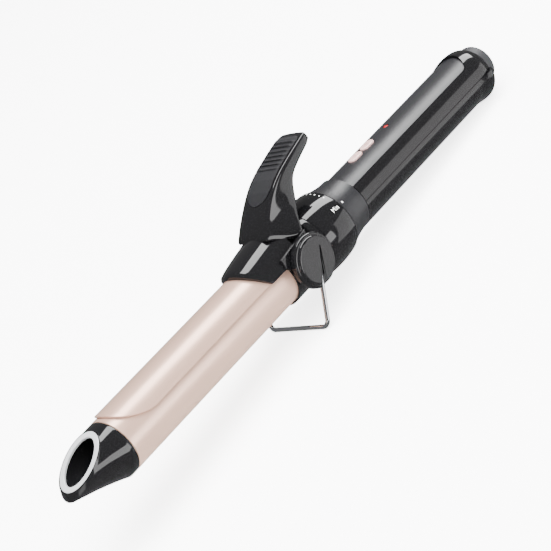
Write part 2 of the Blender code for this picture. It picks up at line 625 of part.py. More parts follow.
def build_housing(tools, iron):
    bore = BARREL_R + GAP
    stop_x = BARREL_LENGTH + BARREL_TUCK + GAP
    collar = turned("front_collar", [
        (COLLAR_X, COLLAR_R - 0.4), (COLLAR_X, bore), (stop_x, bore), (stop_x, NECK_BORE_RADIUS),
        (COLLAR_END_X, NECK_BORE_RADIUS), (COLLAR_END_X, FLANGE_R - 0.5), (COLLAR_END_X - 0.6, FLANGE_R),
        (FLANGE_X + 1.0, FLANGE_R - 0.2), (FLANGE_X, FLANGE_R - 1.2), (FLANGE_X - 0.3, COLLAR_R),
        (COLLAR_X + 0.4, COLLAR_R)])
    rows = [(collar, iron, "gloss_black")]
    for side, word in ((-1.0, "right"), (1.0, "left")):
        ear = turned("side_ear_" + word, [
            (side * EAR_IN, 0.0), (side * EAR_IN, EAR_RADIUS), (side * (EAR_OUT - 1.6), EAR_RADIUS),
            (side * (EAR_OUT - 0.5), EAR_RADIUS - 0.8), (side * EAR_OUT, EAR_RADIUS - 2.2),
            (side * EAR_OUT, 0.0)], 32, "Y", EAR)
        space = turned("flange_space_" + word, [
            (FLANGE_X - 2 * GAP, 0.0), (FLANGE_X + 20.0, 0.0), (FLANGE_X + 20.0, FLANGE_R + GAP),
            (FLANGE_X - 2 * GAP, FLANGE_R + GAP)])
        combine(ear, space, "DIFFERENCE", tools)
        pocket = sorted((side * (LEG_Y - STAND_R - GAP), side * (EAR_OUT - EAR_SKIN)))
        swept = prism("stand_pocket_" + word, stand_pocket(STAND_R + GAP), *pocket)
        combine(ear, swept, "DIFFERENCE", tools)
        slot = sorted((side * (EAR_OUT - EAR_SKIN - 0.5), side * (EAR_OUT + 2.0)))
        combine(ear, prism("stand_slot_" + word, stand_slot(), *slot), "DIFFERENCE", tools)
        hook_r = STAND_R + GAP
        near, far = side * (EAR_IN - 2.0), side * LEG_Y
        hook_profile = [(near, 0.0), (far, 0.0), (far, hook_r), (near, hook_r)]
        hook_hole = turned("stand_hook_hole_" + word, hook_profile, SMALL_STEPS, "Y", STAND_PIVOT)
        combine(ear, hook_hole, "DIFFERENCE", tools)
        pin_in, pin_out = side * (BARREL_R + GAP), side * (EAR_IN + 1.0)
        bore_in, bore_out = side * (BARREL_R - 2.0), side * (EAR_IN + 1.0 + GAP)
        hole_r = PIN_RADIUS + GAP
        hole = turned("ear_pin_hole_" + word, [(bore_in, 0.0), (bore_out, 0.0), (bore_out, hole_r),
                                               (bore_in, hole_r)], SMALL_STEPS, "Y", HINGE)
        combine(ear, hole, "DIFFERENCE", tools)
        share_cutter(collar, hole)
        pin = turned("hinge_pin_" + word, [(pin_in, 0.0), (pin_out, 0.0), (pin_out, PIN_RADIUS),
                                           (pin_in, PIN_RADIUS)], SMALL_STEPS, "Y", HINGE)
        rows += [(ear, iron, "gloss_black"), (pin, iron, "steel")]
    return rows


def build_stand(hinge):
    pivot = (STAND_PIVOT.x, STAND_PIVOT.z)
    foot = along(pivot, LEAN_ANGLE, STAND_REACH)
    rise = along(pivot, LEAN_ANGLE, STAND_REACH - STAND_BEND)
    hook_y = EAR_IN + GAP + 0.2
    half = [(pivot[0], -hook_y, pivot[1]), (pivot[0], -LEG_Y, pivot[1])]
    corner = 5
    for step in range(corner):
        turn = math.radians(90.0 * step / (corner - 1))
        share = math.sin(turn)
        half.append((rise[0] + (foot[0] - rise[0]) * share, -LEG_Y + STAND_BEND * (1 - math.cos(turn)),
                     rise[1] + (foot[1] - rise[1]) * share))
    route = half + [(x, -y, z) for x, y, z in reversed(half)]
    return [(wire("stand_wire", route, STAND_R), hinge, "chrome")]


def build_dial_and_neck(tools, iron, dial_axis):
    middle = DIAL_X + DIAL_WIDTH * 0.45
    dial_in = HUB_R + GAP
    dial = turned("temperature_dial", [
        (DIAL_X, dial_in), (DIAL_END_X, dial_in), (DIAL_END_X, DIAL_R - 1.3), (DIAL_END_X - 0.5, DIAL_R - 0.9),
        (DIAL_END_X - 5.0, DIAL_R - 0.25), (middle, DIAL_R), (DIAL_X + 3.0, DIAL_R - 0.2),
        (DIAL_X + 0.5, DIAL_R - 0.6), (DIAL_X, DIAL_R - 1.0)])
    neck_profile = [(DIAL_X, NECK_BORE_RADIUS), (NECK_X + NECK_LENGTH, NECK_BORE_RADIUS)]
    stations = 7
    for step in range(stations):
        share = step / (stations - 1)
        radius = HANDLE_R + (DIAL_R - DIAL_EDGE_DROP - HANDLE_R) * share**1.8
        neck_profile.append((NECK_X + NECK_LENGTH * (1 - share), radius))
    neck_profile += [(NECK_X, HUB_R), (DIAL_X, HUB_R)]
    neck = turned("neck_housing", neck_profile)
    sensor_start = DIAL_X + 4.0
    sensor_end, sensor_r = sensor_start + 6.0, NECK_BORE_RADIUS - GAP
    sensor = turned("dial_sensor", [(sensor_start, 2.5), (sensor_end, 2.5), (sensor_end, sensor_r),
                                    (sensor_start, sensor_r)])
    return [(dial, dial_axis, "gloss_black"), (neck, iron, "satin_black"), (sensor, iron, "sensor_blue")]


def panel_arc(inset, half_width, count=13):
    """Points (y, z) across the handle's flattened crown, a distance below the panel's surface."""
    sagitta = PANEL_CROWN - PANEL_EDGE_Z
    radius = (PANEL_HALF_WIDTH**2 + sagitta**2) / (2 * sagitta)
    centre_z = PANEL_CROWN - radius
    depth_radius = radius - inset
    points = []
    for index in range(count):
        y = -half_width + 2 * half_width * index / (count - 1)
        points.append((y, centre_z + math.sqrt(depth_radius**2 - y**2)))
    return points


def panel_plan(grow):
    """Plan outline (x, y) of the control panel with its round rear end."""
    front = HANDLE_X - grow
    half = PANEL_HALF_WIDTH + grow
    straight = HANDLE_X + PANEL_LENGTH - PANEL_NOSE
    turns = [math.radians(angle) for angle in range(0, 181, 15)]
    end = [(straight + (PANEL_NOSE + grow) * math.sin(turn), -half * math.cos(turn)) for turn in turns]
    return [(front, -half)] + end + [(front, half)]


def build_upper_shell(tools):
    """The upper half of the handle, hollow, with a recess for the control panel."""
    end = HANDLE_END_X
    upper = turned("handle_upper_shell", [(HANDLE_X, 0.0), (end, 0.0), (end, HANDLE_R - 2.0),
                                          (end - 0.8, HANDLE_R - 1.1), (end - 2.6, HANDLE_R - 0.4),
                                          (end - END_ROUND, HANDLE_R), (HANDLE_X, HANDLE_R)])
    below = box("below_seam", (HANDLE_X - 5.0, -WIDE, -WIDE), (end + 5.0, WIDE, GAP / 2))
    combine(upper, below, "DIFFERENCE", tools)
    crown = [(y, z) for y, z in panel_arc(PANEL_THICK + GAP + CROWN_WALL, HANDLE_IN)
             if y * y + z * z < HANDLE_IN**2]
    side_low = math.degrees(math.atan2(crown[-1][1], crown[-1][0]))
    below_seam = 25.0
    cavity = (arc_points((0.0, 0.0), HANDLE_IN, 180.0 + below_seam, 180.0 - side_low, 6) + crown[1:-1]
              + arc_points((0.0, 0.0), HANDLE_IN, side_low, -below_seam, 6))
    combine(upper, prism("upper_cavity", cavity, HANDLE_X - 5.0, HANDLE_WALL_X, "X"), "DIFFERENCE", tools)
    high, side = HANDLE_R + 8.0, PANEL_HALF_WIDTH + GAP
    floor = panel_arc(PANEL_THICK + GAP, side)
    recess = prism("panel_recess", floor + [(side, high), (-side, high)], HANDLE_X - 5.0, end, "X")
    plan = prism("panel_recess_plan", panel_plan(GAP), -1.0, high + 5.0, "Z")
    combine(recess, plan, "INTERSECT", tools)
    combine(upper, recess, "DIFFERENCE", tools)
    return upper


def build_panel(tools):
    """The crowned strip inlaid in the handle."""
    body = panel_arc(0.0, PANEL_HALF_WIDTH) + panel_arc(PANEL_THICK, PANEL_HALF_WIDTH)[::-1]
    panel = prism("control_panel", body, HANDLE_X, HANDLE_END_X, "X")
    front = HANDLE_X - 2.0
    outline = panel_plan(0.0)[1:-1] + [(front, PANEL_HALF_WIDTH), (front, -PANEL_HALF_WIDTH)]
    combine(panel, prism("panel_plan", outline, -1.0, HANDLE_R + 8.0, "Z"), "INTERSECT", tools)
    return panel


def build_lower_shell(tools):
    """The lower half of the handle, hollow, with a flared heel that has a level flat."""
    end, heel_r = HANDLE_END_X, HANDLE_R + HEEL_RISE
    lower = turned("handle_lower_shell", [
        (HANDLE_X, 0.0), (end, 0.0), (end, HANDLE_R - 1.2), (end - 0.8, HANDLE_R + 0.2),
        (end - 2.2, heel_r - 0.15), (end - HEEL_BACK, heel_r),
        (end - HEEL_LENGTH * 0.6, heel_r - 0.7), (end - HEEL_LENGTH, HANDLE_R),
        (HANDLE_X, HANDLE_R)])
    above = box("above_seam", (HANDLE_X - 5.0, -WIDE, -GAP / 2), (end + 5.0, WIDE, WIDE))
    combine(lower, above, "DIFFERENCE", tools)
    front = HANDLE_X - 5.0
    cavity = turned("lower_cavity", [(front, 0.0), (HANDLE_WALL_X, 0.0), (HANDLE_WALL_X, HANDLE_IN),
                                     (front, HANDLE_IN)])
    combine(lower, cavity, "DIFFERENCE", tools)
    far, deep = 40.0, HANDLE_DIAMETER
    dip = math.tan(tilt_angle()) * far
    outline = [(HEEL.x - far, HEEL.z - dip), (HEEL.x - far, HEEL.z - deep),
               (HEEL.x + far, HEEL.z - deep), (HEEL.x + far, HEEL.z + dip)]
    combine(lower, prism("heel_flat", outline, -deep, deep), "DIFFERENCE", tools)
    return lower


def build_screws(tools, iron, lower):
    """Two screws in the underside, each in a post that stands up to the board."""
    rows = []
    shank, head_top = SCREW_RADIUS * 0.5, 2.6 - HANDLE_R
    head_low, outside = head_top - 1.6, -HANDLE_R - 3.0
    for number, back in enumerate(SCREW_BACKS, 1):
        centre = (HANDLE_X + back, 0.0, 0.0)
        half = SCREW_RADIUS + 1.3
        post = box(f"screw_post_{number}", (centre[0] - half, -half, -HANDLE_IN - 0.9),
                   (centre[0] + half, half, BOARD_RISE - GAP))
        combine(lower, post, "UNION", tools)
        screw = turned(f"handle_screw_{number}", [
            (-1.0, 0.0), (-1.0, shank), (head_top, shank), (head_top, SCREW_RADIUS), (head_low, SCREW_RADIUS),
            (head_low, 0.0)], SMALL_STEPS, "Z", centre)
        hole = turned(f"screw_hole_{number}", [
            (0.0, 0.0), (0.0, shank + GAP), (head_top + GAP, shank + GAP), (head_top + GAP, SCREW_RADIUS + GAP),
            (outside, SCREW_RADIUS + GAP), (outside, 0.0)], SMALL_STEPS, "Z", centre)
        combine(lower, hole, "DIFFERENCE", tools)
        rows.append((screw, iron, "steel"))
    return rows


def build_buttons(tools, iron, buttons, panel, upper):
    """Two oval buttons held in by rims under the panel, each over its switch on the board."""
    rows = []
    foot = BUTTON_FLANGE_TOP - 1.6
    for index, (word, parent) in enumerate(buttons):
        centre_x = HANDLE_X + BUTTON_START + BUTTON_PITCH * index
        button = prism(f"{word}_button", oval(centre_x, BUTTON_LENGTH, BUTTON_WIDTH), foot,
                       PANEL_CROWN + BUTTON_PROUD, "Z")
        flange_length = min(BUTTON_LENGTH + 2 * BUTTON_FLANGE, BUTTON_PITCH - GAP)
        flange = prism(f"{word}_button_flange", oval(centre_x, flange_length, BUTTON_WIDTH + 2 * BUTTON_FLANGE),
                       BUTTON_FLANGE_TOP - 1.2, BUTTON_FLANGE_TOP, "Z")
        combine(button, flange, "UNION", tools)
        hole = prism(f"{word}_button_hole", oval(centre_x, BUTTON_LENGTH + 2 * GAP, BUTTON_WIDTH + 2 * GAP),
                     BUTTON_FLANGE_TOP, PANEL_CROWN + 5.0, "Z")
        combine(panel, hole, "DIFFERENCE", tools)
        share_cutter(upper, hole)
        half = SWITCH_SIZE / 2
        switch = box(f"{word}_switch", (centre_x - half, -half, BOARD_TOP + GAP),
                     (centre_x + half, half, foot - BUTTON_TRAVEL - GAP))
        rows += [(button, parent, "button_rose"), (switch, iron, "satin_black")]
    return rows


def build_lens(tools, panel, upper):
    """The indicator's light guide, from the board up through the panel."""
    centre = (HANDLE_X + LENS_BACK, 0.0, 0.0)
    low, high = BOARD_TOP + GAP, PANEL_CROWN + 0.1
    lens = turned("indicator_lens", [(high, 0.0), (high, LENS_RADIUS), (low, LENS_RADIUS), (low, 0.0)],
                  SMALL_STEPS, "Z", centre)
    low, high, hole_r = BOARD_TOP + 1.0, PANEL_CROWN + 5.0, LENS_RADIUS + GAP
    hole = turned("lens_hole", [(high, 0.0), (high, hole_r), (low, hole_r), (low, 0.0)],
                  SMALL_STEPS, "Z", centre)
    combine(panel, hole, "DIFFERENCE", tools)
    share_cutter(upper, hole)
    return lens


def build_gland():
    """The rear boss that turns with the cord, held by a rim inside the end wall."""
    start, inside = HANDLE_END_X + GAP, HANDLE_WALL_X - GAP
    end, rim = start + BOSS_LENGTH, inside - 2.0
    return turned("swivel_gland", [
        (rim, CORD_HOLE_RADIUS), (end, CORD_HOLE_RADIUS), (end, BOSS_RADIUS - 1.8),
        (end - 0.5, BOSS_RADIUS - 0.8), (end - 1.8, BOSS_RADIUS), (start, BOSS_RADIUS), (start, BOSS_STEM_RADIUS), (inside, BOSS_STEM_RADIUS),
        (inside, BOSS_STEM_RADIUS + 1.5), (rim, BOSS_STEM_RADIUS + 1.5)])


def build_handle(tools, iron, buttons, swivel):
    upper, panel, lower = build_upper_shell(tools), build_panel(tools), build_lower_shell(tools)
    front, back, hole_r = HANDLE_WALL_X - 5.0, HANDLE_END_X + 5.0, BOSS_STEM_RADIUS + GAP
    stem_bore = turned("stem_bore", [(front, 0.0), (back, 0.0), (back, hole_r), (front, hole_r)])
    combine(lower, stem_bore, "DIFFERENCE", tools)
    share_cutter(upper, stem_bore)
    board_x = HANDLE_X + 10.0
    board = box("circuit_board", (board_x, -BOARD_WIDTH / 2, BOARD_RISE),
                (board_x + BOARD_LENGTH, BOARD_WIDTH / 2, BOARD_TOP))
    rows = [(upper, iron, "gloss_black"), (panel, iron, "satin_black"), (lower, iron, "gloss_black"),
            (board, iron, "board_green"), (build_gland(), swivel, "matte_grey")]
    rows += build_screws(tools, iron, lower)
    rows += build_buttons(tools, iron, buttons, panel, upper)
    rows.append((build_lens(tools, panel, upper), iron, "lens_red"))
    return rows


def tilt_angle():
    """Turn about Y that brings the stand's foot and the heel's flat to one level."""
    foot = along((STAND_PIVOT.x, STAND_PIVOT.z), LEAN_ANGLE, STAND_REACH)
    run, drop = HEEL.x - foot[0], foot[1] - HEEL.z
    return math.asin(STAND_R / math.hypot(run, drop)) - math.atan2(drop, run)


def make_empty(name, location, parent, collection):
    empty = bpy.data.objects.new(name, None)
    collection.objects.link(empty)
    empty.location = Vector(location) * MM
    empty.parent = parent
    return empty


def ground(iron, parts):
    """Centres the tilted iron over the origin and sets its lowest point on Z = 0."""
    bpy.context.view_layer.update()
    graph = bpy.context.evaluated_depsgraph_get()
    corners = []
    for obj in parts.objects:
        if obj.type == "MESH":
            solid = obj.evaluated_get(graph)
            corners += [solid.matrix_world @ vertex.co for vertex in solid.data.vertices]
    lows = [min(corner[axis] for corner in corners) for axis in range(3)]
    highs = [max(corner[axis] for corner in corners) for axis in range(3)]
    iron.location = (-(lows[0] + highs[0]) / 2, -(lows[1] + highs[1]) / 2, -lows[2])
    bpy.context.view_layer.update()


def main():
    for old in list(bpy.data.objects):
        bpy.data.objects.remove(old)
    parts = make_collection("curling_iron")
    tools = make_collection("cutters")
    iron = make_empty("iron", (0.0, 0.0, 0.0), None, parts)
    hinge = make_empty("clamp_hinge", HINGE, iron, parts)
    stand_hinge = make_empty("stand_hinge", STAND_PIVOT, iron, parts)
    dial_axis = make_empty("dial_axis", (DIAL_X, 0.0, 0.0), iron, parts)
    swivel = make_empty("swivel_axis", (HANDLE_END_X, 0.0, 0.0), iron, parts)
    buttons = []
    for index, word in enumerate(("on", "off")):
        spot = (HANDLE_X + BUTTON_START + BUTTON_PITCH * index, 0.0, PANEL_CROWN)
        buttons.append((word, make_empty(word + "_button_axis", spot, iron, parts)))

    rows = build_tip(tools, iron)
    rows += build_barrel(tools, iron)
    rows += build_clamp(tools, hinge)
    rows += build_housing(tools, iron)
    rows += build_spring(iron)
    rows += build_stand(stand_hinge)
    rows += build_dial_and_neck(tools, iron, dial_axis)
    rows += build_handle(tools, iron, buttons, swivel)
    for obj, parent, finish in rows:
        place(obj, parts, parent)
        obj.data.materials.append(make_material(obj.name, *FINISHES[finish]))
    iron.rotation_euler = (0.0, tilt_angle(), 0.0)
    ground(iron, parts)


if __name__ == "__main__":
    main()
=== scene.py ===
"""Curling iron: the finished surfaces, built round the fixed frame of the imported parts.

Every piece is drawn in millimetres in the iron's own axes: X runs along the barrel towards the handle
from the face where the cool tip meets it, Z is up through the clamp, and -Y is the side with the dial's
pointer. The last step of each piece carries it to where the frame holds the tilted iron.
"""

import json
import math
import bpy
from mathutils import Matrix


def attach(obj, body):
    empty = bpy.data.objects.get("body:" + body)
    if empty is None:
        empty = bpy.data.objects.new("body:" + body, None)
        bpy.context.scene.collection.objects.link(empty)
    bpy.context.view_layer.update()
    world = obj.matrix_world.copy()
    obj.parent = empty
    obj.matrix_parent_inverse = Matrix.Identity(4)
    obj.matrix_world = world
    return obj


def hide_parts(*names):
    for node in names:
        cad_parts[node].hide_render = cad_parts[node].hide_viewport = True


bl_info = {
    "name": "Curling Iron",
    "version": (1, 0, 0),
    "blender": (4, 5, 0),
    "location": "View3D > Sidebar > Curling Iron",
    "description": "Finished surfaces and materials of a curling iron on its wire stand",
    "category": "Add Mesh",
}

from types import SimpleNamespace

import bmesh
import bpy
from mathutils import Matrix, Vector

MM = 0.001
GAP = 0.3                      # clearance between neighbouring pieces, as in the frame
ROUND_STEPS = 128              # sides of a large turned piece
SMALL_STEPS = 48               # sides of a small turned piece
FINE = 0.25                    # usual rounding of a moulded edge
FAR = 30.0                     # past the iron's outside, for cutters
EAR_SKIN = 0.9                 # outer wall of an ear over the stand's leg
STAND_LEAN = 242.0             # direction of the standing leg, in degrees from +X
STAND_FOLD = 70.0              # how far the stand folds
STAND_LEG = 24.0               # length of leg that the pocket and the slot make room for
PANEL_NOSE = 8.0               # length of the panel's round rear end
HALF_SEAM = 0.15               # half the gap between the handle's shells
STEM_RADIUS = 6.6              # stem of the cord swivel in the handle's end
SCREW_BACKS = (16.0, 72.0)     # screws behind the handle's front

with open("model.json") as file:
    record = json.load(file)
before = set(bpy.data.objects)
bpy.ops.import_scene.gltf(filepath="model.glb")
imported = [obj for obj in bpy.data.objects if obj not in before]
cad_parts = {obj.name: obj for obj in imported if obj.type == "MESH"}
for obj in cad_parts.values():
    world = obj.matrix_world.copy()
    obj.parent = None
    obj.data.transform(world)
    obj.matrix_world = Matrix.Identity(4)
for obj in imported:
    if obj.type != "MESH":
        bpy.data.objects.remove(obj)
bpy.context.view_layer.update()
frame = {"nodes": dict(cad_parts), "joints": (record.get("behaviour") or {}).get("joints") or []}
JOINTS = {joint["name"]: joint for joint in frame["joints"]}


# Sizes and colours

def size(name, millimetres, text):
    return bpy.props.FloatProperty(name=name, description=text, default=millimetres * MM,
                                   subtype="DISTANCE", unit="LENGTH")


def linear(code):
    """An sRGB hex colour as linear values."""
    channels = [int(code[index:index + 2], 16) / 255 for index in (1, 3, 5)]
    return [value / 12.92 if value <= 0.04045 else ((value + 0.055) / 1.055) ** 2.4 for value in channels]


def colour(name, code, text):
    return bpy.props.FloatVectorProperty(name=name, description=text, default=linear(code),
                                         subtype="COLOR", size=3, min=0.0, max=1.0)


class IronSizes(bpy.types.PropertyGroup):
    """Sizes of the iron, the same as the frame's."""
    barrel_radius: size("Barrel radius", 12.5, "Outside of the coated tube")
    barrel_length: size("Barrel length", 108.0, "From the cool tip to the collar")
    barrel_wall: size("Barrel wall", 1.0, "Thickness of the tube")
    barrel_tuck: size("Barrel tuck", 12.0, "Length of tube held in the collar")
    clip_thick: size("Clip thickness", 0.8, "Thickness of the clip plate")
    clip_front: size("Clip front", 2.0, "Front edge of the clip behind the cool tip")
    clip_corner: size("Clip corner", 8.0, "Rounding of the clip's front corners")
    saddle_front: size("Saddle length", 19.0, "From the saddle's front rim to the collar")
    saddle_rear: size("Saddle rear", 8.0, "How far the saddle runs past the collar's front")
    saddle_sweep: size("Saddle sweep", 7.5, "Sweep of the rim from the top to the side")
    saddle_wall: size("Saddle wall", 1.5, "Thickness of the saddle")
    lever_wall: size("Lever wall", 2.2, "Thickness of the lever's shell")
    pad_half_width: size("Pad half width", 6.9, "Half the width of the ribbed pad")
    collar_length: size("Collar length", 23.0, "From the barrel to the dial")
    collar_wall: size("Collar wall", 1.1, "Collar outside the barrel")
    flange_length: size("Flange length", 4.0, "Ring in front of the dial")
    dial_radius: size("Dial radius", 16.7, "Widest part of the dial")
    dial_width: size("Dial width", 17.6, "Length of the dial along the iron")
    hub_radius: size("Hub radius", 13.0, "Hub that the dial turns on")
    neck_length: size("Neck length", 13.6, "From the dial to the handle")
    neck_bore: size("Neck bore", 9.0, "Inside of the neck")
    ear_radius: size("Ear radius", 11.8, "Round side ears")
    ear_thick: size("Ear thickness", 4.0, "Side ears")
    ear_back: size("Ear place", 10.4, "Ear centre behind the collar's front")
    ear_rise: size("Ear rise", 1.0, "Ear centre above the axis")
    stand_wire: size("Stand wire", 2.0, "Diameter of the stand's wire")
    stand_reach: size("Stand reach", 34.0, "From the stand's pivot to its foot")
    handle_radius: size("Handle radius", 13.1, "Round handle")
    handle_length: size("Handle length", 108.6, "From the neck to the rear end")
    handle_wall: size("Handle wall", 2.0, "Thickness of the handle's shells")
    heel_rise: size("Heel flare", 1.1, "Flare under the rear end")
    heel_flat: size("Heel flat", 0.35, "Depth of the flat that the heel rests on")
    heel_length: size("Heel length", 13.0, "Length of the flare")
    panel_half_width: size("Panel half width", 10.2, "Half the width of the inlaid panel")
    panel_length: size("Panel length", 100.0, "Inlaid panel on the handle")
    panel_thick: size("Panel thickness", 1.4, "Inlaid panel")
    panel_drop: size("Panel drop", 1.3, "Crown of the panel below the handle's radius")
    button_length: size("Button length", 8.2, "Oval buttons across the handle's length")
    button_width: size("Button width", 4.6, "Oval buttons")
    button_pitch: size("Button pitch", 9.3, "From one button to the next")
    button_start: size("First button", 18.7, "First button behind the handle's front")
    lens_back: size("Light place", 43.5, "Indicator light behind the handle's front")
    boss_radius: size("Boss radius", 9.6, "Rear cord swivel")
    boss_length: size("Boss length", 5.6, "Rear cord swivel behind the handle")


class IronColours(bpy.types.PropertyGroup):
    """Colours of the iron's finishes."""
    rose: colour("Rose coating", "#C9A694", "Pearl coating of the barrel and the clip")
    black: colour("Gloss black", "#0B0B0C", "Polished black mouldings")
    satin: colour("Satin black", "#141416", "Inlaid panel and neck")
    grip: colour("Grip grey", "#101012", "Ribbed pad on the lever")
    boss: colour("Boss grey", "#1E1E20", "Rear cord swivel")
    reflection_ring: colour("Trim", "#D6D7D9", "Bright ring round the cool tip")
    # Painted reflection: the pale ring colour stands in for the light that the tip's gloss cut face reflects
    button: colour("Button rose", "#C9A5A0", "Oval buttons")
    light: colour("Light red", "#A3141C", "Indicator light")
    mark: colour("Mark white", "#E9E9E6", "Printed scale")


def sizes():
    """The sizes in millimetres, with the places that follow from them."""
    group = bpy.context.scene.iron_sizes
    s = SimpleNamespace(**{name: getattr(group, name) / MM for name in IronSizes.__annotations__})
    s.clip_out = s.barrel_radius + GAP + s.clip_thick
    s.saddle_in = s.clip_out + GAP
    s.collar_x = s.barrel_length
    s.collar_end = s.collar_x + s.collar_length
    s.collar_radius = s.barrel_radius + s.collar_wall
    s.wing_in = s.saddle_in + 0.12
    s.wing_out = s.wing_in + 1.25
    s.ear_in = s.wing_out + GAP + 0.03
    s.ear_out = s.ear_in + s.ear_thick
    s.dial_x = s.collar_end + GAP
    s.dial_end = s.dial_x + s.dial_width
    s.neck_x = s.dial_end + GAP
    s.handle_x = s.neck_x + s.neck_length + GAP
    s.handle_end = s.handle_x + s.handle_length
    s.crown = s.handle_radius - s.panel_drop
    s.hinge = (s.collar_x + 9.0, 3.0)
    s.pivot = (s.collar_x + 15.2, 5.2)
    s.leg_y = s.ear_out - EAR_SKIN - 0.2 - s.stand_wire / 2
    return s


def iron_place():
    """Carries the iron's own axes, in millimetres, to its place in the frame."""
    turn = JOINTS["dial_turn"]
    along = Vector(turn["axis"]).normalized()
    across = Vector((0.0, 1.0, 0.0))
    rise = along.cross(across)
    start = Vector(turn["pos_m"]) - along * sizes().dial_x * MM
    axes = Matrix((along, across, rise)).transposed().to_4x4()
    return Matrix.Translation(start) @ axes @ Matrix.Scale(MM, 4)


# Modelling tools

def even(bm):
    """Turns all faces the same way."""
    bmesh.ops.recalc_face_normals(bm, faces=bm.faces)
    return bm


def turned(profile, steps=ROUND_STEPS, start=0.0, sweep=360.0, closed=True):
    """Spins a profile of (along, radius) points round the X axis, from an angle off the top towards -Y."""
    bm = bmesh.new()
    angle = math.radians(start)
    points = [bm.verts.new((x, -radius * math.sin(angle), radius * math.cos(angle))) for x, radius in profile]
    pairs = list(zip(points, points[1:]))
    if closed and not (profile[0][1] == 0.0 and profile[-1][1] == 0.0):
        pairs.append((points[-1], points[0]))
    edges = [bm.edges.new(pair) for pair in pairs]
    whole = sweep == 360.0
    bmesh.ops.spin(bm, geom=points + edges, cent=(0.0, 0.0, 0.0), axis=(1.0, 0.0, 0.0),
                   angle=math.radians(sweep), steps=steps, use_merge=whole)
    bmesh.ops.remove_doubles(bm, verts=bm.verts, dist=0.001)
    if closed and not whole:
        bmesh.ops.holes_fill(bm, edges=[edge for edge in bm.edges if edge.is_boundary])
    return even(bm)


def rod(low, high, radius, steps=SMALL_STEPS):
    """A plain round bar along X."""
    return turned([(low, 0.0), (low, radius), (high, radius), (high, 0.0)], steps)


def shoulder(end, radius, run, fall, turns):
    """Profile points of a rounded shoulder that falls from a radius before its end."""
    angles = [math.radians(turn) for turn in turns]
    return [(end - run + run * math.sin(angle), radius - fall * (1 - math.cos(angle))) for angle in angles]


def ringed(matrices, steps=96, join=False):
    """Bridges a row of rings, each a unit circle placed by a matrix; the ends are capped or joined."""
    bm = bmesh.new()
    loops = []
    if join:
        matrices = matrices + matrices[:1]
    last = len(matrices) - 1
    for index, matrix in enumerate(matrices):
        known = set(bm.edges)
        bmesh.ops.create_circle(bm, cap_ends=not join and index in (0, last), segments=steps, radius=1.0,
                                matrix=matrix)
        loops.append([edge for edge in bm.edges if edge not in known])
    for one, other in zip(loops, loops[1:]):
        bmesh.ops.bridge_loops(bm, edges=one + other)
    bmesh.ops.remove_doubles(bm, verts=bm.verts, dist=0.0005)
    return even(bm)


def plate(outline, low, high, axis="Z"):
    """A flat outline made a face and extruded between two heights along an axis."""
    bm = bmesh.new()
    spread = {"X": lambda u, v: (low, u, v), "Y": lambda u, v: (u, low, v),
              "Z": lambda u, v: (u, v, low)}[axis]
    face = bm.faces.new([bm.verts.new(spread(u, v)) for u, v in outline])
    raised = bmesh.ops.extrude_face_region(bm, geom=[face])["geom"]
    shift = {"X": (high - low, 0, 0), "Y": (0, high - low, 0), "Z": (0, 0, high - low)}[axis]
    verts = [part for part in raised if isinstance(part, bmesh.types.BMVert)]
    bmesh.ops.translate(bm, verts=verts, vec=shift)
    return even(bm)


def draped(rows):
    """A grid laid over rows of points."""
    bm = bmesh.new()
    count = len(rows[0])
    bmesh.ops.create_grid(bm, x_segments=len(rows) - 1, y_segments=count - 1, size=1.0)
    order = sorted(bm.verts, key=lambda vert: (round(vert.co.x, 5), round(vert.co.y, 5)))
    for index, vert in enumerate(order):
        vert.co = rows[index // count][index % count]
    return even(bm)


def thicken(bm, wall, inwards):
    """Gives an open sheet its wall on the side of the point that it should grow towards."""
    bm.faces.ensure_lookup_table()
    face = bm.faces[len(bm.faces) // 2]
    if face.normal.dot(Vector(inwards) - face.calc_center_median()) > 0:
        bmesh.ops.reverse_faces(bm, faces=bm.faces)
    bmesh.ops.solidify(bm, geom=bm.faces[:], thickness=wall)
    return even(bm)


def soften(bm, width=FINE, limit=30.0, segments=3):
    """Rounds each edge where the surface turns by more than a limit."""
    sharpest = math.radians(limit)
    edges = [edge for edge in bm.edges if edge.is_manifold and edge.calc_face_angle(0.0) > sharpest]
    bmesh.ops.bevel(bm, geom=edges, offset=width, affect="EDGES", segments=segments, profile=0.5,
                    material=-1, clamp_overlap=True)
    return bm


def outward(bm):
    """Turns the faces of a closed shape outward."""
    if even(bm).calc_volume(signed=True) < 0.0:
        bmesh.ops.reverse_faces(bm, faces=bm.faces)
    return bm


def loose_object(name, bm):
    mesh = bpy.data.meshes.new(name)
    bm.to_mesh(mesh)
    bm.free()
    piece = bpy.data.objects.new(name, mesh)
    bpy.context.scene.collection.objects.link(piece)
    return piece


def evaluated(piece):
    """The piece with its modifiers worked in, as a new bmesh; the piece itself is removed."""
    graph = bpy.context.evaluated_depsgraph_get()
    bm = bmesh.new()
    bm.from_object(piece, graph)
    mesh = piece.data
    bpy.data.objects.remove(piece)
    bpy.data.meshes.remove(mesh)
    return bm


def combined(bm, other, operation="DIFFERENCE"):
    """Cuts, joins or intersects two closed shapes."""
    piece, tool = loose_object("work", outward(bm)), loose_object("tool", outward(other))
    modifier = piece.modifiers.new("Shape", "BOOLEAN")
    modifier.operation = operation
    modifier.object = tool
    modifier.solver = "EXACT"
    result = evaluated(piece)
    bpy.data.objects.remove(tool)
    return result


def subdivided(bm, levels):
    """A coarse cage turned into a smooth one."""
    piece = loose_object("cage", bm)
    modifier = piece.modifiers.new("Smooth", "SUBSURF")
    modifier.levels = levels
    modifier.render_levels = levels
    return evaluated(piece)


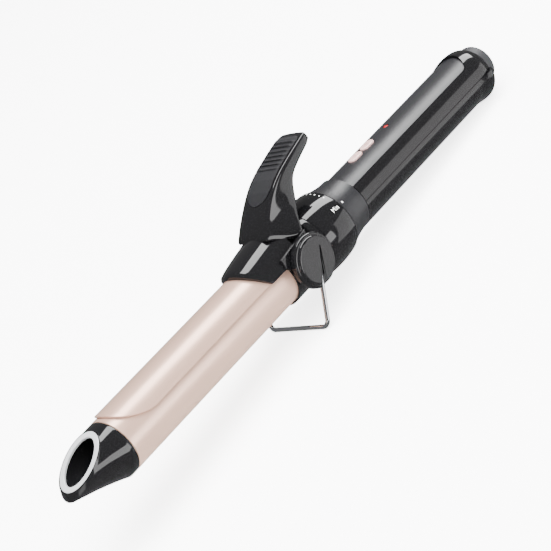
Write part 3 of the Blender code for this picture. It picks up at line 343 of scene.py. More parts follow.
def drawn(curve):
    """A curve or a text made into a mesh; the curve is removed."""
    holder = bpy.data.objects.new("drawn", curve)
    bpy.context.scene.collection.objects.link(holder)
    mesh = bpy.data.meshes.new_from_object(holder.evaluated_get(bpy.context.evaluated_depsgraph_get()))
    bm = bmesh.new()
    bm.from_mesh(mesh)
    bpy.data.objects.remove(holder)
    bpy.data.curves.remove(curve)
    bpy.data.meshes.remove(mesh)
    bmesh.ops.remove_doubles(bm, verts=bm.verts, dist=0.001)
    return even(bm)


def place_at(bm, centre, axis, side=1.0):
    """Turns a shape drawn along X to Y, on either side, or to Z, and moves it to a centre."""
    turns = {"Y": Matrix.Rotation(math.radians(90.0 * side), 3, "Z"),
             "Z": Matrix.Rotation(math.radians(-90.0), 3, "Y")}
    bmesh.ops.rotate(bm, cent=(0.0, 0.0, 0.0), matrix=turns[axis], verts=bm.verts)
    bmesh.ops.translate(bm, verts=bm.verts, vec=centre)
    return bm


def finished(name, bm, finish, body, nodes=(), sharp=32.0):
    """Carries a shape into the frame as a piece that rides on a body and stands for its nodes."""
    bmesh.ops.remove_doubles(bm, verts=bm.verts, dist=0.0005)
    bmesh.ops.dissolve_degenerate(bm, edges=bm.edges, dist=0.0005)
    outward(bm)
    bmesh.ops.transform(bm, matrix=iron_place(), verts=bm.verts)
    piece = loose_object(name, bm)
    piece.data.shade_smooth()
    piece.data.set_sharp_from_angle(angle=math.radians(sharp))
    piece.data.materials.clear()
    piece.data.materials.append(material_of(finish))
    weighted = piece.modifiers.new("Even shading", "WEIGHTED_NORMAL")
    weighted.keep_sharp = True
    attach(piece, body)
    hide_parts(*nodes)
    return piece


def arc(centre, radius, start, end, count):
    """Points on an arc, in degrees."""
    turns = [math.radians(start + (end - start) * index / (count - 1)) for index in range(count)]
    return [(centre[0] + radius * math.cos(turn), centre[1] + radius * math.sin(turn)) for turn in turns]


def oval(centre_x, length, width, count=12):
    """A slot outline with round ends, its length along the iron's X axis."""
    half, end = (length - width) / 2, width / 2
    return (arc((centre_x + half, 0.0), end, -90.0, 90.0, count)
            + arc((centre_x - half, 0.0), end, 90.0, 270.0, count))


# Materials

def add_node(tree, kind, links=(), **settings):
    """Adds a shader node, with its inputs and properties set and linked."""
    node = tree.nodes.new(kind)
    for name, value in settings.items():
        key = name.replace("_", " ").title()
        if key in node.inputs:
            node.inputs[key].default_value = value
        else:
            setattr(node, name, value)
    for source, target in links:
        tree.links.new(source, node.inputs[target])
    return node


def surface(name, base, rough, metallic=0.0, ior=1.5, grit=0.4, wave=0.02, rough_swing=0.05, **sockets):
    """A surface with a fine grain of a real size, in millimetres, and a slight wave of its roughness."""
    material = bpy.data.materials.new(name)
    material.use_nodes = True
    tree = material.node_tree
    shader = tree.nodes["Principled BSDF"]
    shader.inputs["Base Color"].default_value = (*base, 1.0)
    shader.inputs["Metallic"].default_value = metallic
    if not metallic:
        shader.inputs["IOR"].default_value = ior
    for socket, value in sockets.items():
        shader.inputs[socket.replace("_", " ").title()].default_value = value
    place = add_node(tree, "ShaderNodeTexCoord")
    grain = add_node(tree, "ShaderNodeTexNoise", [(place.outputs["Object"], "Vector")],
                     scale=1 / (grit * MM), detail=3.0)
    patch = add_node(tree, "ShaderNodeTexNoise", [(place.outputs["Object"], "Vector")],
                     scale=1 / (40.0 * grit * MM), detail=2.0)
    roughness = add_node(tree, "ShaderNodeMapRange", [(patch.outputs["Fac"], "Value")],
                         to_min=rough - rough_swing, to_max=rough + rough_swing)
    tree.links.new(roughness.outputs["Result"], shader.inputs["Roughness"])
    bump = add_node(tree, "ShaderNodeBump", [(grain.outputs["Fac"], "Height")], strength=0.25,
                    distance=wave * MM)
    tree.links.new(bump.outputs["Normal"], shader.inputs["Normal"])
    return material


# Each finish: its colour, from the panel or as a code, its roughness and the rest of its surface
FINISHES = {
    # Sprayed pearl ceramic coat on drawn aluminium: a soft metallic sheen with a wide bright band
    "pearl_ceramic_coat": ("rose", 0.3, dict(metallic=0.65, grit=0.3, wave=0.002, rough_swing=0.02,
                                             coat_weight=0.2, coat_roughness=0.15)),
    # Polished ABS from a mirror-finished mould: deep black with crisp reflections
    "polished_black_abs": ("black", 0.05, dict(grit=2.5, wave=0.0008, rough_swing=0.02)),
    # Fine spark-eroded ABS: the reflection is there but blurred
    "satin_black_abs": ("satin", 0.36, dict(grit=0.25, wave=0.004)),
    # Moulded elastomer grip: dull dark grey with a fine tooth
    "moulded_grip_rubber": ("grip", 0.72, dict(grit=0.3, wave=0.03)),
    # Nylon boss, as moulded: dull near-black
    "moulded_nylon": ("boss", 0.55, dict(ior=1.53, grit=0.3)),
    # Painted reflection: pale, even satin metal in place of the light that the tip's gloss black cut face
    # reflects
    "painted_reflection_finish": ("reflection_ring", 0.36, dict(metallic=0.55, grit=0.25, wave=0.006)),
    # Bright nickel-chrome plated spring wire: mirror-like
    "plated_wire": ("#C9CBCE", 0.09, dict(metallic=1.0, grit=0.5, wave=0.003, rough_swing=0.02)),
    # Turned steel, oiled: grey metal with fine scatter
    "turned_steel": ("#9A9B9D", 0.32, dict(metallic=1.0, grit=0.2, wave=0.01)),
    # Button mouldings with a pearl tint: pale rose, semi-gloss
    "pearl_button_abs": ("button", 0.24, dict(metallic=0.25, grit=0.3, wave=0.006)),
    # Clear red light guide, unlit
    "red_light_guide": ("light", 0.12, dict(ior=1.49, grit=0.8, wave=0.003, transmission_weight=0.3)),
    # Pad-printed white ink: flat and matte
    "printed_white_ink": ("mark", 0.5, dict(grit=0.2, wave=0.004)),
    # Pad-printed dark ink
    "printed_dark_ink": ("#4A2A2A", 0.5, dict(grit=0.2, wave=0.004)),
    # Pressed steatite: chalky white
    "pressed_steatite": ("#DDD9D0", 0.8, dict(ior=1.6, wave=0.03)),
    # Glass-epoxy board under green solder mask
    "solder_mask": ("#1F6B3C", 0.35, dict(wave=0.01)),
}


def material_of(name):
    """Each finish is made once and shared by its pieces."""
    if name in bpy.data.materials:
        return bpy.data.materials[name]
    tint, rough, rest = FINISHES[name]
    base = linear(tint) if tint.startswith("#") else getattr(bpy.context.scene.iron_colours, tint)
    return surface(name, base, rough, **rest)


# Cool tip

def face_axes():
    """The directions along and out of the tip's oblique face, and its centre."""
    tilt = math.radians(25.8)
    run = Vector((math.cos(tilt), 0.0, math.sin(tilt)))
    out = Vector((-run.z, 0.0, run.x))
    return run, out, Vector((-16.3, 0.0, 6.5))


def ellipse(centre, length_axis, half_length, half_width):
    """Places a unit circle as an ellipse whose length runs along an axis and whose width runs along Y."""
    normal = length_axis.cross(Vector((0.0, 1.0, 0.0)))
    columns = (length_axis * half_length, Vector((0.0, half_width, 0.0)), normal)
    return Matrix.Translation(centre) @ Matrix(columns).transposed().to_4x4()


def slanted(top, bottom, half_width):
    """An upright or slanted ring given by its top and bottom points in X and Z."""
    top, bottom = Vector((top[0], 0.0, top[1])), Vector((bottom[0], 0.0, bottom[1]))
    reach = top - bottom
    return ellipse((top + bottom) / 2, reach.normalized(), reach.length / 2, half_width)


class IRON_OT_cool_tip(bpy.types.Operator):
    """Make the gloss black cool tip with its hollow, and a bright ring on its cut face that is a painted
    reflection
    """
    bl_idname = "iron.cool_tip"
    bl_label = "Cool tip"

    def execute(self, context):
        s = sizes()
        radius = s.barrel_radius
        run, out, centre = face_axes()
        plug = radius - s.barrel_wall - GAP
        edge, ring = 0.3, 2.5
        half_length, half_width = 13.1, 10.2
        upright = Vector((0.0, 0.0, 1.0))
        rings = [ellipse(Vector((x, 0.0, 0.0)), upright, size, size) for x, size in
                 ((8.0, plug - 0.6), (7.4, plug), (-0.15, plug), (-0.15, radius - 0.2), (-0.35, radius))]
        rings += [slanted((-0.9, radius), (-3.3, -radius), radius),
                  slanted((-1.1, radius), (-3.9, -radius + 0.25), radius - 0.02)]
        kink, lip = (-4.2, -radius + 0.42), (-28.6, -3.0)
        for share in (0.15, 0.35, 0.6, 0.85):
            sag = 0.5 * math.sin(math.pi * share)
            low = (kink[0] + (lip[0] - kink[0]) * share, kink[1] + (lip[1] - kink[1]) * share + sag)
            rings.append(slanted((-1.1 - 3.0 * share, radius - 0.25 * share), low, radius - 2.0 * share))
        rings += [slanted((-4.2, radius - 0.3), (-29.3, -2.7), half_width + 0.1),
                  slanted((-4.3, radius - 0.3), (-29.45, -2.2), half_width + 0.05),
                  slanted((-4.45, radius - 0.32), (-28.5, 0.4), half_width)]
        seat = half_length - edge, half_width - edge
        for grow, rise in ((-0.1, -0.02), (-edge + 0.08, 0.0), (-edge, -0.08), (-edge, -1.1),
                           (-edge - ring, -1.15)):
            rings.append(ellipse(centre + out * rise, run, half_length + grow, half_width + grow))
        hole = seat[0] - ring, seat[1] - ring
        mouth, floor = centre - out * 1.15, Vector((-3.5, 0.0, 1.0))
        for share in (0.15, 0.5, 0.9, 1.0):
            lean = run.lerp(upright, share).normalized()
            shrink = 1.0 - 0.12 * share if share < 1.0 else 0.6
            rings.append(ellipse(mouth.lerp(floor, share), lean, hole[0] * shrink * (1 - 0.15 * share),
                                 hole[1] * shrink))
        tip = ringed(rings)
        finished("cool_tip_moulding", tip, "polished_black_abs", "base", ["cool_tip"],
                 sharp=50.0)

        # The ring on the cut face is a painted reflection: a pale satin metal piece where the gloss black
        # face only reflects light
        slack = 0.08
        rows = ((-slack, -1.0), (-slack, -0.15), (-slack - 0.12, -0.03), (-slack - 0.3, 0.0),
                (-ring + 0.3, -0.02), (-ring + 0.1, -0.06), (-ring, -0.2), (-ring, -1.04))
        loops = [ellipse(centre + out * rise, run, seat[0] + grow, seat[1] + grow) for grow, rise in rows]
        reflection_ring = ringed(loops, join=True)
        finished("painted_reflection_tip_ring", reflection_ring, "painted_reflection_finish", "base", ["tip_rim"])
        return {"FINISHED"}


# Barrel and clamp

class IRON_OT_barrel(bpy.types.Operator):
    """Make the coated heating tube"""
    bl_idname = "iron.barrel"
    bl_label = "Barrel"

    def execute(self, context):
        s = sizes()
        inner = s.barrel_radius - s.barrel_wall
        end = s.barrel_length + s.barrel_tuck
        tube = soften(turned([(0.15, s.barrel_radius), (end, s.barrel_radius), (end, inner), (0.15, inner)]))
        finished("coated_barrel", tube, "pearl_ceramic_coat", "base", ["barrel_tube"])
        return {"FINISHED"}


def lever_stations(s):
    """Top and under points of the lever, behind the collar's front and above the clip, and half widths."""
    wide = 8.5
    return (((0.0, 4.9), (15.0, -4.2), 9.6, s.wing_out - 0.2), ((3.0, 8.2), (17.0, 0.4), 8.9, 14.2),
            ((6.5, 11.6), (20.4, 4.6), 8.6, 12.0), ((11.3, 15.2), (25.2, 8.8), wide, 10.0),
            ((16.5, 18.7), (28.0, 12.6), wide, 8.9), ((22.0, 21.4), (30.9, 16.4), wide, wide),
            ((28.5, 23.5), (34.5, 18.4), wide, wide), ((38.0, 25.6), (41.0, 20.7), wide, wide),
            ((47.0, 27.3), (47.3, 22.4), 8.2, 8.2), ((48.8, 27.2), (48.9, 23.2), 7.4, 7.4))


def station_points(s, station):
    """Top and under points of a station in the iron's axes, and the direction between them."""
    (top_x, top_z), (under_x, under_z) = station[:2]
    top = Vector((s.collar_x + top_x, 0.0, s.clip_out + top_z))
    under = Vector((s.collar_x + under_x, 0.0, s.clip_out + under_z))
    return top, under, (top - under).normalized()


def lever_row(s, station):
    """The lever's outline at a station, from one lower edge over the top to the other."""
    top, under, rise = station_points(s, station)
    top_half, under_half = station[2:]
    middle = top_half + (under_half - top_half) * 0.35
    side = ((under, under_half), (under + (top - under) * 0.45, middle), (top - rise * 1.7, top_half),
            (top - rise * 0.3, top_half - 0.35), (top, top_half - 1.5), (top + rise * 0.25, top_half * 0.4))
    right = [point + Vector((0.0, -half, 0.0)) for point, half in side]
    left = [point + Vector((0.0, half, 0.0)) for point, half in reversed(side)]
    return right + [top + rise * 0.3] + left


def lever_shell(s):
    """The hollow lever: rows of its outline, closed at the thumb end, given a wall and smoothed."""
    stations = lever_stations(s)
    rows = [lever_row(s, station) for station in stations]
    _, under, rise = station_points(s, stations[-1])
    end = rows[-1]
    rows.append([point + Vector((0.25, 0.0, 0.0)) for point in end])
    lift = [max(0.0, (point - under).dot(rise)) for point in end]
    rows.append([point + Vector((0.3, 0.0, 0.0)) - rise * up * 0.92 for point, up in zip(end, lift)])
    sheet = draped(rows)
    thicken(sheet, s.lever_wall, (s.collar_x + 20.0, 0.0, s.clip_out))
    return subdivided(sheet, 2)


def saddle_shell(s):
    """The saddle that holds the clip: a swept sheet that rises towards the lever, given a wall."""
    limit = 68.0
    rows = []
    shares = (0.0, 0.03, 0.1, 0.2, 0.3, 0.4, 0.5, 0.6, 0.7, 0.8, 0.9, 1.0)
    for share in shares:
        row = []
        for index in range(33):
            angle = math.radians(-limit + 2 * limit * index / 32)
            sweep = s.saddle_sweep * (1 - math.cos(angle)) / (1 - math.cos(math.radians(limit)))
            front = s.collar_x - s.saddle_front + sweep
            x = front + (s.collar_x + s.saddle_rear - front) * share
            rise = 4.6 * min(1.0, share * 1.15) ** 0.6 * math.cos(angle) ** 2
            radius = s.saddle_in + s.saddle_wall * (0.8 if share == 0.0 else 1.0) + rise
            row.append(Vector((x, -radius * math.sin(angle), radius * math.cos(angle))))
        rows.append(row)
    inner = [[Vector((point.x, point.y * s.saddle_in / math.hypot(point.y, point.z),
                      point.z * s.saddle_in / math.hypot(point.y, point.z))) for point in row]
             for row in rows]
    sheet = draped(rows + inner[::-1] + rows[:1])
    bmesh.ops.remove_doubles(sheet, verts=sheet.verts, dist=0.001)
    bmesh.ops.holes_fill(sheet, edges=[edge for edge in sheet.edges if edge.is_boundary])
    return even(sheet)


def wing_outline(s):
    """Side plate from the saddle down to the hinge."""
    return ([(s.collar_x - 3.0, s.hinge[1] + 3.0), (s.hinge[0] - 4.6, s.hinge[1] - 2.4)]
            + arc(s.hinge, 5.2, 225.0, 360.0, 14)
            + [(s.collar_x + 15.2, s.clip_out - 3.6), (s.collar_x + 16.0, s.clip_out - 0.6),
               (s.collar_x - 3.0, s.clip_out - 3.0)])


class IRON_OT_clamp(bpy.types.Operator):
    """Make the clip plate, the lever with its saddle, and the ribbed pad"""
    bl_idname = "iron.clamp"
    bl_label = "Clamp"

    def execute(self, context):
        s = sizes()
        self.clip(s)
        self.lever(s)
        self.pad(s)
        return {"FINISHED"}

    def clip(self, s):
        """A rolled sheet with a slanted front that runs back in a round at each corner."""
        reach, slant, tuck = math.radians(66.0), 1.15, 5.0
        rear, columns, steps = s.collar_x - tuck, 73, 40
        rows = []
        for step in range(steps + 1):
            row = []
            for column in range(columns):
                turn = reach * (2 * column / (columns - 1) - 1)
                high = s.clip_out * math.cos(turn)
                inside = max(0.0, s.clip_corner - (reach - abs(turn)) * s.clip_out)
                front = (s.clip_front + slant * (s.clip_out - high) + s.clip_corner
                         - math.sqrt(s.clip_corner**2 - inside**2))
                share = (step / steps) ** 1.5
                row.append(Vector((front + (rear - front) * share, s.clip_out * math.sin(turn), high)))
            rows.append(row)
        sheet = draped(rows)
        thicken(sheet, s.clip_thick, (50.0, 0.0, 0.0))
        soften(sheet, 0.22, 50.0)
        finished("rolled_clip", sheet, "pearl_ceramic_coat", "clamp", ["clip_plate"])

    def lever(self, s):
        shape = combined(saddle_shell(s), lever_shell(s), "UNION")
        for low, high in ((-s.wing_out, -s.wing_in), (s.wing_in, s.wing_out)):
            wing = soften(plate(wing_outline(s), low, high, "Y"), 0.3)
            shape = combined(shape, wing, "UNION")
        shape = combined(shape, rod(s.collar_x - 40.0, s.collar_x + FAR, s.saddle_in - 0.02, ROUND_STEPS))
        pin_hole = place_at(rod(-FAR, FAR, 2.1), (s.hinge[0], 0.0, s.hinge[1]), "Y")
        shape = combined(shape, pin_hole)
        finished("lever_moulding", shape, "polished_black_abs", "clamp",
                 ["clamp_lever"], sharp=40.0)

    def pad(self, s):
        """A tongue laid along the lever's top, with cross ribs on its upper part."""
        tops = [station_points(s, station) for station in lever_stations(s)[3:9]]
        steps, across, ribs = 120, 14, 8
        spans = [(other[0] - one[0]).length for one, other in zip(tops, tops[1:])]
        total = sum(spans)
        rows = []
        for index in range(steps + 1):
            share = index / steps
            distance = share * (total - 1.6) + 0.3
            leg = 0
            while distance > spans[leg] and leg < len(spans) - 1:
                distance -= spans[leg]
                leg += 1
            blend = distance / spans[leg]
            point = tops[leg][0].lerp(tops[leg + 1][0], blend)
            rise = tops[leg][2].lerp(tops[leg + 1][2], blend).normalized()
            tongue = math.sqrt(max(0.0, 1 - (1 - min(1.0, share / 0.24)) ** 2))
            square = math.sqrt(max(0.0, 1 - (1 - min(1.0, (1 - share) / 0.06)) ** 2)) * 0.25 + 0.75
            half = s.pad_half_width * max(0.03, tongue) * square
            ribbed = min(1.0, max(0.0, (share - 0.42) * 12.0)) * min(1.0, max(0.0, (0.97 - share) * 20.0))
            wave = max(0.0, math.cos(math.tau * ribs * (share - 0.42) / 0.55)) ** 1.5
            row = []
            for place in range(across + 1):
                y = -half + 2 * half * place / across
                inset = 1 - abs(y) / max(half, 0.01)
                bump = 0.75 * wave * ribbed * min(1.0, inset * 4.0)
                height = 0.55 + bump - 0.25 * (1 - min(1.0, inset * 5.0))
                row.append(point + rise * height + Vector((0.0, y, 0.0)))
            rows.append(row)
        sheet = draped(rows)
        thicken(sheet, 1.3, (s.collar_x + 40.0, 0.0, s.clip_out))
        finished("ribbed_pad", sheet, "moulded_grip_rubber", "clamp", ["lever_pad"],
                 sharp=60.0)


# Collar, ears and stand

class IRON_OT_collar(bpy.types.Operator):
    """Make the collar behind the barrel and the two side ears"""
    bl_idname = "iron.collar"
    bl_label = "Collar and ears"

    def execute(self, context):
        s = sizes()
        flange = s.dial_radius - 0.3
        flange_x = s.collar_end - s.flange_length
        bore, stop = s.barrel_radius + GAP, s.barrel_length + s.barrel_tuck + GAP
        collar = turned([(s.collar_x, s.collar_radius), (s.collar_x, bore), (stop, bore),
                         (stop, s.neck_bore), (s.collar_end, s.neck_bore), (s.collar_end, flange),
                         (s.collar_end - 1.2, flange + 0.05), (flange_x + 1.0, flange - 0.2),
                         (flange_x, flange - 1.2), (flange_x - 0.3, s.collar_radius)])
        soften(collar)
        finished("collar_moulding", collar, "polished_black_abs", "base", ["front_collar"])
        for side, word in ((-1.0, "right"), (1.0, "left")):
            self.ear(s, side, word, flange, flange_x)
        return {"FINISHED"}

    def ear(self, s, side, word, flange, flange_x):
        """A round ear with a stepped rim, a pocket for the stand's leg and a tapered slot."""
        ear_in, ear_out = s.ear_in, s.ear_out
        radius = s.ear_radius
        profile = [(ear_in, 0.0), (ear_in, radius - 0.2), (ear_in + 0.2, radius), (ear_out - 2.1, radius)]
        turns = (15, 30, 45, 60, 75, 90)
        profile += shoulder(ear_out - 1.1, radius, 1.0, 1.0, turns) + [(ear_out - 1.1, radius - 1.25)]
        profile += shoulder(ear_out, radius - 1.3, 1.1, 1.1, turns)
        profile += [(ear_out, radius * 0.55), (ear_out, 0.0)]
        centre = (s.collar_x + s.ear_back, 0.0, s.ear_rise)
        ear = place_at(turned(profile, 96), centre, "Y", side)
        ear = combined(ear, rod(flange_x - 0.6, flange_x + 20.0, flange + GAP, ROUND_STEPS))
        half = s.stand_wire / 2 + GAP
        near, far = sorted((side * (s.leg_y - half), side * (ear_out - EAR_SKIN)))
        ear = combined(ear, plate(stand_pocket(s.pivot, half), near, far, "Y"))
        foot = reach(s.pivot, STAND_LEAN, STAND_LEG)
        slot = [reach(point, STAND_LEAN + turn, wide) for point, turn, wide in
                ((s.pivot, -90.0, 0.35), (foot, -90.0, 1.9), (foot, 90.0, 1.9), (s.pivot, 90.0, 0.35))]
        near, far = sorted((side * (ear_out - 1.4), side * (ear_out + 2.0)))
        ear = combined(ear, plate(slot, near, far, "Y"))
        finished(f"ear_moulding_{word}", ear, "polished_black_abs", "base",
                 [f"side_ear_{word}"], sharp=40.0)


def reach(point, degrees, distance):
    """The point at a distance in a direction, in X and Z."""
    turn = math.radians(degrees)
    return (point[0] + distance * math.cos(turn), point[1] + distance * math.sin(turn))


def stand_pocket(pivot, half):
    """Outline swept by a leg from standing to folded."""
    folded = STAND_LEAN + STAND_FOLD
    outline = arc(pivot, half, STAND_LEAN - 90.0, folded + 90.0 - 360.0, 15)
    outline.append(reach(reach(pivot, folded, STAND_LEG), folded + 90.0, half))
    outline.append(reach(pivot, (STAND_LEAN + folded) / 2, STAND_LEG * 1.25))
    outline.append(reach(reach(pivot, STAND_LEAN, STAND_LEG), STAND_LEAN - 90.0, half))
    return outline


class IRON_OT_stand(bpy.types.Operator):
    """Make the bent wire stand"""
    bl_idname = "iron.stand"
    bl_label = "Wire stand"

    def execute(self, context):
        s = sizes()
        pivot, leg_y, bend = s.pivot, s.leg_y, 3.0
        half = [(pivot[0], -(s.ear_in + GAP + 0.2), pivot[1]), (pivot[0], -leg_y + 0.6, pivot[1])]
        start = reach(pivot, STAND_LEAN, 0.6)
        half += [(pivot[0], -leg_y + 0.2, pivot[1]), (start[0], -leg_y, start[1])]
        knee, foot = (reach(pivot, STAND_LEAN, s.stand_reach - back) for back in (bend, 0.0))
        corner = 10
        for step in range(corner + 1):
            turn = math.radians(90.0 * step / corner)
            share = math.sin(turn)
            half.append((knee[0] + (foot[0] - knee[0]) * share, -leg_y + bend * (1 - math.cos(turn)),
                         knee[1] + (foot[1] - knee[1]) * share))
        route = half + [(x, -y, z) for x, y, z in reversed(half)]
        curve = bpy.data.curves.new("stand_route", "CURVE")
        curve.dimensions = "3D"
        curve.bevel_depth = s.stand_wire / 2
        curve.bevel_resolution = 8
        curve.use_fill_caps = True
        spline = curve.splines.new("POLY")
        spline.points.add(len(route) - 1)
        for point, place in zip(spline.points, route):
            point.co = (*place, 1.0)
        bm = drawn(curve)
        finished("bent_stand", bm, "plated_wire", "stand", ["stand_wire"], sharp=50.0)
        return {"FINISHED"}


# Dial and neck

def dial_profile(s):
    """Outer profile of the bulged dial, from its front edge to its rear edge."""
    middle = s.dial_x + s.dial_width * 0.45
    steps = 18
    profile = []
    for index in range(steps + 1):
        x = s.dial_x + 0.3 + (s.dial_width - 0.6) * index / steps
        fall = 0.55 if x < middle else 0.85
        span = middle - s.dial_x if x < middle else s.dial_end - middle
        profile.append((x, s.dial_radius - fall * (abs(x - middle) / span) ** 2.2))
    return profile


def dial_radius_at(s, x):
    profile = dial_profile(s)
    return min(profile, key=lambda point: abs(point[0] - x))[1]


def neck_radius_at(s, x):
    share = 1 - (x - s.neck_x) / s.neck_length
    return s.handle_radius + (s.dial_radius - 1.2 - s.handle_radius) * share**1.8


class IRON_OT_dial(bpy.types.Operator):
    """Make the temperature dial, its printed scale and the neck behind it"""
    bl_idname = "iron.dial"
    bl_label = "Dial and neck"

    def execute(self, context):
        s = sizes()
        inner = s.hub_radius + GAP
        outer = dial_profile(s)
        dial = turned([(s.dial_x, inner), (s.dial_x, outer[0][1] - 0.35)] + outer
                      + [(s.dial_end, outer[-1][1] - 0.35), (s.dial_end, inner)])
        finished("dial_moulding", dial, "polished_black_abs", "dial", ["temperature_dial"])
        steps = 24
        stations = [s.neck_x + 0.25 + (s.neck_length - 0.3) * index / steps for index in range(steps + 1)]
        skin = [(x, neck_radius_at(s, x)) for x in stations]
        neck = turned([(s.dial_x, s.neck_bore), (s.dial_x, s.hub_radius), (s.neck_x, s.hub_radius),
                       (s.neck_x, neck_radius_at(s, s.neck_x) - 0.3)] + skin
                      + [(s.neck_x + s.neck_length, s.handle_radius - 0.2),
                         (s.neck_x + s.neck_length, s.neck_bore)])
        finished("neck_moulding", neck, "satin_black_abs", "base", ["neck_housing"])
        self.scale(s)
        return {"FINISHED"}

    def scale(self, s):
        """Printed dots round the dial's rear rim, two words, and the pointer on the neck."""
        dots = bmesh.new()
        spacing, lowest, count = 8.2, 33.0, 30
        rim = s.dial_end - 2.0
        for index in range(count):
            self.dot(dots, rim, dial_radius_at(s, rim), lowest - spacing * index, 0.34)
        finished("scale_dots", dots, "printed_white_ink", "dial")
        pointer = bmesh.new()
        spot = s.neck_x + 2.1
        self.dot(pointer, spot, neck_radius_at(s, spot), 58.4, 0.5)
        finished("pointer_dot", pointer, "printed_white_ink", "base")
        for word, turn in (("Min", 58.4), ("Max", 58.4 - 270.0)):
            self.word(s, word, s.dial_end - 3.9, turn)

    def dot(self, bm, x, radius, turn, size_of_dot):
        """A thin disc of ink laid on a round surface."""
        lie = Matrix.Rotation(math.radians(turn), 4, "X") @ Matrix.Translation((x, 0.0, radius + 0.01))
        bmesh.ops.create_cone(bm, cap_ends=True, segments=20, radius1=size_of_dot, radius2=size_of_dot * 0.9,
                              depth=0.06, matrix=lie)

    def word(self, s, text, x, turn):
        """A printed word that runs along the iron and follows the dial's round."""
        curve = bpy.data.curves.new(text, "FONT")
        curve.body = text
        curve.size = 3.0
        curve.offset = -0.03
        curve.align_x = "CENTER"
        curve.align_y = "CENTER"
        curve.extrude = 0.03
        bm = drawn(curve)
        for vert in bm.verts:
            along, upward, high = vert.co
            radius = dial_radius_at(s, x + along) + 0.02 + high
            angle = math.radians(turn) - upward / radius
            vert.co = (x + along, -radius * math.sin(angle), radius * math.cos(angle))
        finished(f"scale_{text.lower()}", even(bm), "printed_white_ink", "dial")


# Handle

def panel_arc(s, inset, half, count=33):
    """Points across the handle's flattened crown, a distance below the panel's surface."""
    edge = math.sqrt(s.handle_radius**2 - s.panel_half_width**2) - 0.2
    sagitta = s.crown - edge
    radius = (s.panel_half_width**2 + sagitta**2) / (2 * sagitta)
    ys = [-half + 2 * half * index / (count - 1) for index in range(count)]
    return [(y, s.crown - radius + math.sqrt((radius - inset) ** 2 - y**2)) for y in ys]


def panel_plan(s, grow, front):
    """Plan of the panel with its round rear end."""
    half, nose = s.panel_half_width + grow, PANEL_NOSE + grow
    straight = s.handle_x + s.panel_length - PANEL_NOSE
    turns = [math.radians(angle) for angle in range(0, 181, 6)]
    end = [(straight + nose * math.sin(turn), -half * math.cos(turn)) for turn in turns]
    return [(front, -half)] + end + [(front, half)]


class IRON_OT_handle(bpy.types.Operator):
    """Make the two shells of the handle and the inlaid panel"""
    bl_idname = "iron.handle"
    bl_label = "Handle"

    def execute(self, context):
        s = sizes()
        self.upper(s)
        self.lower(s)
        self.panel(s)
        return {"FINISHED"}

    def half_shell(self, s, skin, start):
        """Half of the hollow handle from its outer profile, short of the seam, with room for the stem."""
        stem, inside, wall = STEM_RADIUS + GAP, s.handle_radius - s.handle_wall, s.handle_end - s.handle_wall
        profile = [(s.handle_x, s.handle_radius)] + skin
        profile += [(s.handle_end, stem), (wall, stem), (wall, inside), (s.handle_x, inside)]
        seam = math.degrees(HALF_SEAM / s.handle_radius)
        return turned(profile, 96, start + seam, 180.0 - 2 * seam)

    def upper(self, s):
        end, radius = s.handle_end, s.handle_radius
        skin = shoulder(end, radius, 8.5, 3.0, range(0, 91, 9)) + [(end, radius - 3.4)]
        shell = self.half_shell(s, skin, -90.0)
        floor = panel_arc(s, s.panel_thick + GAP, s.panel_half_width + GAP)
        high = radius + 8.0
        pocket = plate(floor + [(floor[-1][0], high), (floor[0][0], high)], s.handle_x - 5.0, end, "X")
        pocket = combined(pocket, plate(panel_plan(s, GAP, s.handle_x - 6.0), -1.0, high + 5.0), "INTERSECT")
        shell = combined(shell, pocket)
        soften(shell, 0.2, 50.0, 2)
        finished("upper_handle_shell", shell, "polished_black_abs", "base",
                 ["handle_upper_shell"])

    def lower(self, s):
        end, radius = s.handle_end, s.handle_radius
        heel = radius + s.heel_rise
        flare = [(end - s.heel_length + s.heel_length * 0.7 * share,
                  radius + s.heel_rise * (3 * share**2 - 2 * share**3)) for share in
                 [index / 12 for index in range(13)]]
        skin = flare + shoulder(end, heel, 3.9, 2.9, range(9, 91, 9)) + [(end, heel - 3.3)]
        shell = self.half_shell(s, skin, 90.0)
        along = Vector(JOINTS["dial_turn"]["axis"]).normalized()
        tilt = math.atan2(-along.z, along.x)
        x, z, reach_x = s.handle_end - 4.0, -(heel - s.heel_flat), 40.0
        slope = math.tan(tilt) * reach_x
        wedge = plate([(x - reach_x, z - slope), (x - reach_x, z - FAR), (x + reach_x, z - FAR),
                       (x + reach_x, z + slope)], -FAR, FAR, "Y")
        shell = combined(shell, wedge)
        for back in SCREW_BACKS:
            shell = combined(shell, place_at(rod(-FAR, -10.2, 2.7), (s.handle_x + back, 0.0, 0.0), "Z"))
        soften(shell, 0.2, 50.0, 2)
        finished("lower_handle_shell", shell, "polished_black_abs", "base",
                 ["handle_lower_shell"])

    def panel(self, s):
        """A thin crowned strip with a round rear end, and openings for the buttons and the light."""
        half = s.panel_half_width
        section = panel_arc(s, 0.0, half) + panel_arc(s, s.panel_thick, half)[::-1]
        strip = plate(section, s.handle_x, s.handle_end, "X")
        plan = plate(panel_plan(s, 0.03, s.handle_x - 2.0), -1.0, FAR)
        for index in range(2):
            centre = s.handle_x + s.button_start + s.button_pitch * index
            hole = plate(oval(centre, s.button_length + 2 * GAP, s.button_width + 2 * GAP), -3.0, FAR + 3.0)
            plan = combined(plan, hole)
        light = place_at(rod(-3.0, FAR + 3.0, 1.4), (s.handle_x + s.lens_back, 0.0, 0.0), "Z")
        strip = combined(strip, combined(plan, light), "INTERSECT")
        soften(strip, 0.25, 50.0)
        finished("inlaid_panel", strip, "satin_black_abs", "base", ["control_panel"])


